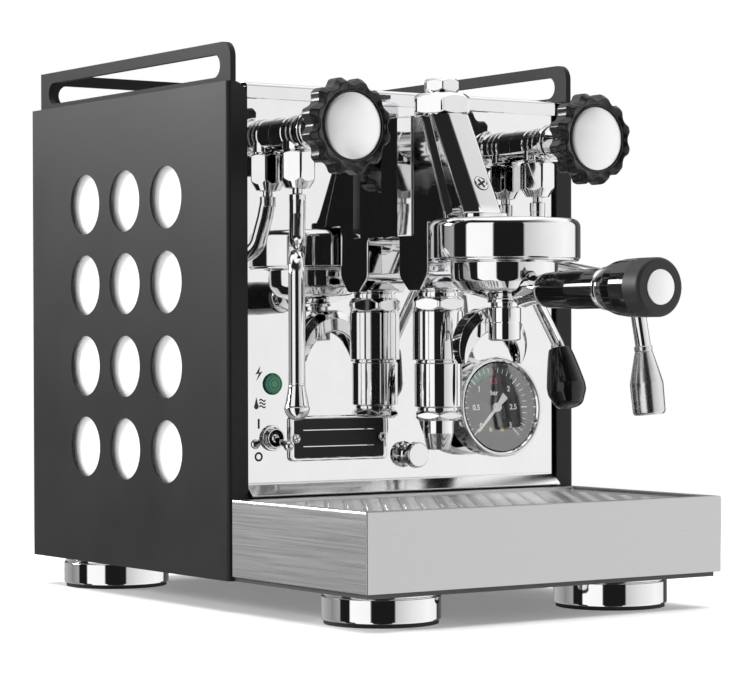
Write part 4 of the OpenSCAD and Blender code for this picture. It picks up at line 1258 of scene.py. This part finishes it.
def drip_tray():
    """Folded tray with brushed faces, mitred rim and a ledge for the grate."""
    lo, hi = low("drip_tray"), high("drip_tray")
    rim = 7.0
    wall = 1.5

    def outline_in(inset, radius, steps):
        return rounded_rect(lo.x + inset, hi.x - inset, lo.y + inset, hi.y - inset, radius, steps=steps)

    outer = outline_in(0, 1.2, 5)
    inner = outline_in(wall, 0.4, 2)
    mouth = outline_in(rim, 1.0, 3)
    mouth_out = outline_in(rim - wall, 2.0, 3)
    ledge = outline_in(rim + 4, 1.0, 3)
    ledge_z = low("drip_grate").z - 0.1
    flats = (("walls", [outer, inner], lo.z, hi.z - wall * 0.6, 0.5),
             ("rim", [outer, mouth], hi.z - wall, hi.z, 0.7),
             ("fold", [mouth_out, mouth], ledge_z - 2, hi.z - 0.2, 0.2),
             ("ledge", [mouth_out, ledge], ledge_z - 2, ledge_z, 0.2),
             ("floor", [inner], lo.z, lo.z + wall, 0.1))
    parts = [plate(name, outlines, z1 - z0, lying(z0), "tray", "tray_front", edge=edge)
             for name, outlines, z0, z1, edge in flats]
    # Painted shade: a thin dark strip at each front corner stands in for the mitre gap.
    for x in (lo.x + 0.29, hi.x - 0.29):
        inward = 0.3 if x < 0 else -0.3
        parts.append(block("painted_seam_shade", (min(x, x + inward), lo.y + 0.29, lo.z + 0.6),
                           (max(x, x + inward), lo.y + 0.59, hi.z - 0.8), "tray", "black_print_and_painted_shade", edge=0.02))
    tray = join("tray_folded", parts, "drip_tray")
    # Faces turned to the sides get the lighter copy of the steel: painted light by face direction, with the
    # grain running along them.
    tray.data.materials.append(materials["tray_side"])
    side = len(tray.data.materials) - 1
    corner_gap = Vector(((hi.x - lo.x) / 2, (hi.y - lo.y) / 2))
    centre = mid("drip_tray")
    for face in tray.data.polygons:
        at = face.center / MM - centre
        to_side = corner_gap.x - abs(at.x)
        to_front = corner_gap.y - abs(at.y)
        if abs(face.normal.x) > 0.7 or (abs(face.normal.z) > 0.7 and to_side < to_front and to_side < rim
                                        + 4):
            face.material_index = side


def drip_grate():
    """Perforated plate: offset rows of short slots inside a plain border."""
    lo, hi = low("drip_grate"), high("drip_grate")
    outline = rounded_rect(lo.x, hi.x, lo.y, hi.y, 3)
    holes = []
    columns, rows = 17, 11
    step_x = (hi.x - lo.x - 22) / columns
    step_y = (hi.y - lo.y - 18) / rows
    for j in range(rows):
        shift = 0.5 if j % 2 else 0.0
        for i in range(columns - (1 if shift else 0)):
            x = lo.x + 11 + (i + 0.5 + shift) * step_x
            y = lo.y + 9 + (j + 0.5) * step_y
            holes.append(slot_outline(x - step_x * 0.36, x + step_x * 0.36, y, step_y * 0.24))
    plate("grate_perforated", [outline] + holes, hi.z - lo.z, lying(lo.z), "grate",
          "grate_steel", "drip_grate", edge=0.3)


# ---------- printed marks beside the lamp and switch ----------

def panel_marks():
    """Generic symbols: lightning, drop with steam, on bar and off ring."""
    thick = 0.12
    where = upright(panel_front + 0.02)
    parts = []

    def mark(outlines, x, z):
        placed = [[Vector((p[0] + x, p[1] + z)) for p in outline] for outline in outlines]
        parts.append(plate("mark", placed, thick, where, "machine", "black_print_and_painted_shade", edge=0.02))

    bolt = [(0.9, 4.2), (-2.2, -0.6), (0.1, 0.0), (-1.6, -4.2), (2.4, 1.2), (0.2, 0.5)]
    mark([[(1.15 * x, 1.1 * y) for x, y in bolt]], lamp_at.x - 10, lamp_at.z + 6.7)
    drop = [(1.7 * math.sin(a) * (1 if abs(a) < 2 else 0.9), -1.6 - 1.9 * math.cos(a)) for a in
            (math.radians(d) for d in range(-130, 131, 13))] + [(0, 4.1)]
    mark([drop], lamp_at.x - 11.9, lamp_at.z - 12.3)
    for k in range(3):
        z = lamp_at.z - 10.2 - 2.0 * k
        top = [(-2.3 + 4.6 * t / 12, 0.55 * math.sin(2 * math.pi * t / 12) + 0.5) for t in range(13)]
        line = top + [(x, y - 1.0) for x, y in reversed(top)]
        mark([line], lamp_at.x - 7.4, z)
    mark([rounded_rect(-0.7, 0.7, -3.1, 3.1, 0.2, steps=2)], toggle_at.x - 9.7, toggle_at.z + 9.2)
    mark([circle(0, 0, 3.0, 40), circle(0, 0, 1.7, 40)], toggle_at.x - 9.8, toggle_at.z - 11.5)
    join("panel_symbols", parts)


casing()
front_panel()
badge()
screws()
lamp_and_switch()
stud()
gauge_case()
gauge_dial()
gauge_needle()
group_casting()
group_nuts()
bell()
exhaust()
valve("steam_valve_body", steam_at, "steam_valve")
valve("water_valve_body", water_at, "water_valve")
wand_nuts()
knob("steam_knob_lobed", "steam_valve_turn", "steam_control", "steam_knob", "steam_knob_cap")
knob("water_knob_lobed", "water_valve_turn", "water_control", "water_knob", "water_knob_cap")
steam_wand()
water_wand()
brew_lever()
filter_holder()
spout()
handle()
drip_tray()
drip_grate()
panel_marks()


# ---------- floor, light and camera ----------

def floor():
    mesh = bpy.data.meshes.new("floor")
    reach = 8.0
    mesh.from_pydata([(-reach, -reach, 0), (reach, -reach, 0), (reach, reach, 0), (-reach, reach, 0)], [],
                     [(0, 1, 2, 3)])
    ground = stand("floor", mesh)
    tree, shader = new_material("floor_white")
    feed(shader, {"Base Color": (0.93, 0.93, 0.93, 1), "Roughness": 0.8, "Emission Color": (1, 1, 1, 1),
                  "Emission Strength": 0.2})
    position = add(tree, "ShaderNodeTexCoord", output="Object")
    distance = add(tree, "ShaderNodeVectorMath", {0: position}, "Value", operation="LENGTH")
    white = add(tree, "ShaderNodeEmission", {"Strength": 1.0})
    paper = mix_shaders(tree, fade(tree, distance, 0.30, 0.75), shader.outputs["BSDF"], white)
    reflected = add(tree, "ShaderNodeLightPath", output="Is Glossy Ray")
    surface = mix_shaders(tree, reflected, paper, add(tree, "ShaderNodeBsdfTransparent"))
    feed(tree.nodes["Material Output"], {"Surface": surface})
    mesh.materials.append(materials["floor_white"])


camera_at = Vector((-0.990548, -1.412369, 0.168835))
camera_yaw, camera_pitch, camera_roll = (math.radians(a) for a in (34.458, -0.811, -0.131))


def camera():
    ahead = Vector((math.sin(camera_yaw) * math.cos(camera_pitch),
                    math.cos(camera_yaw) * math.cos(camera_pitch), math.sin(camera_pitch)))
    level = Vector((math.cos(camera_yaw), -math.sin(camera_yaw), 0))
    over = level.cross(ahead)
    right = level * math.cos(camera_roll) + over * math.sin(camera_roll)
    over = over * math.cos(camera_roll) - level * math.sin(camera_roll)
    data = bpy.data.cameras.new("camera")
    data.sensor_width = 36
    data.lens = 126.64
    data.shift_y = 0.0559
    data.clip_end = 50
    eye = stand("camera", data)
    m = Matrix((right, over, -ahead)).transposed().to_4x4()
    m.translation = camera_at
    eye.matrix_world = m
    bpy.context.scene.camera = eye


def ring_of_screens(tree, turn, *stops):
    """Grey levels against the angle round the machine, in degrees."""
    node = tree.nodes.new("ShaderNodeValToRGB")
    feed(node, {"Fac": turn})
    elements = node.color_ramp.elements
    while len(elements) < len(stops):
        elements.new(0.5)
    for element, (degrees, value) in zip(elements, stops):
        element.position = degrees / 360 + 0.5
        element.color = (value, value, value, 1)
    return node.outputs["Color"]


def studio():
    """Surroundings of light and dark screens, and a pale backdrop for the camera alone."""
    world = bpy.data.worlds.new("studio")
    bpy.context.scene.world = world
    world.use_nodes = True
    tree = world.node_tree
    tree.nodes.clear()
    direction = add(tree, "ShaderNodeTexCoord", output="Generated")
    toward = Vector((-math.sin(camera_yaw), -math.cos(camera_yaw), 0))
    right = Vector((math.cos(camera_yaw), -math.sin(camera_yaw), 0))
    ahead, aside, height = (add(tree, "ShaderNodeVectorMath", {0: direction, 1: axis}, "Value",
                                operation="DOT_PRODUCT") for axis in (toward, right, UP))
    angle = add(tree, "ShaderNodeMath", {0: aside, 1: ahead}, operation="ARCTAN2")
    turn = add(tree, "ShaderNodeMath", {0: angle, 1: 1 / (2 * math.pi), 2: 0.5}, operation="MULTIPLY_ADD")
    around = ring_of_screens(tree, turn, (-180, 0.2), (-150, 0.5), (-113, 0.34), (-109, 0.27), (-86, 0.42),
                             (-84, 0.012), (-63, 0.012), (-61, 1.15), (-21, 1.1), (-19, 0.012),
                             (26, 0.012), (28, 0.66), (60, 0.90), (100, 1.1), (130, 1.0), (134, 0.05),
                             (179, 0.2))
    higher = ring_of_screens(tree, turn, (-180, 0.3), (-125, 1.3), (-100, 1.3), (-82, 0.02), (-40, 0.02),
                             (30, 0.03), (70, 0.38), (100, 1.0), (130, 1.2), (165, 1.2), (179, 0.4))
    overhead = mix_colors(tree, fade(tree, height, 0.84, 0.90), higher, (1.2, 1.2, 1.2))
    above = mix_colors(tree, fade(tree, height, 0.40, 0.56), around, overhead)
    screens = add(tree, "ShaderNodeBackground", {"Color": above, "Strength": 1.0})
    backdrop = add(tree, "ShaderNodeBackground", {"Color": (1, 1, 1, 1), "Strength": 1.0})
    seen = add(tree, "ShaderNodeLightPath", output="Is Camera Ray")
    output = tree.nodes.new("ShaderNodeOutputWorld")
    feed(output, {"Surface": mix_shaders(tree, seen, screens, backdrop)})


def soft_light(name, at, target, width, height, power, in_reflections=False):
    data = bpy.data.lights.new(name, "AREA")
    data.shape = "RECTANGLE"
    data.size = width
    data.size_y = height
    data.energy = power
    lamp = stand(name, data)
    lamp.location = at
    lamp.rotation_mode = "QUATERNION"
    lamp.rotation_quaternion = (Vector(target) - Vector(at)).to_track_quat("-Z", "Y")
    lamp.visible_glossy = in_reflections


floor()
camera()
studio()
soft_light("overhead", (0.1, 0.2, 3.4), (0.1, 0.2, 0), 4.0, 4.0, 150)
soft_light("back_left_screen", (-1.9, 2.0, 0.98), (-0.14, 0, 0.25), 1.2, 0.5, 46, True)
bpy.context.scene.view_settings.view_transform = "Standard"
bpy.context.scene.view_settings.look = "None"


def flatten_reflections():
    """Broad faces keep their own normal, so flat metal reflects as flat metal."""
    for piece in bpy.context.scene.objects:
        if piece.type == "MESH" and piece.get("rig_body") and not piece.get("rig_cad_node"):
            weighted = piece.modifiers.new("broad_faces", "WEIGHTED_NORMAL")
            weighted.keep_sharp = True
            weighted.weight = 80


flatten_reflections()
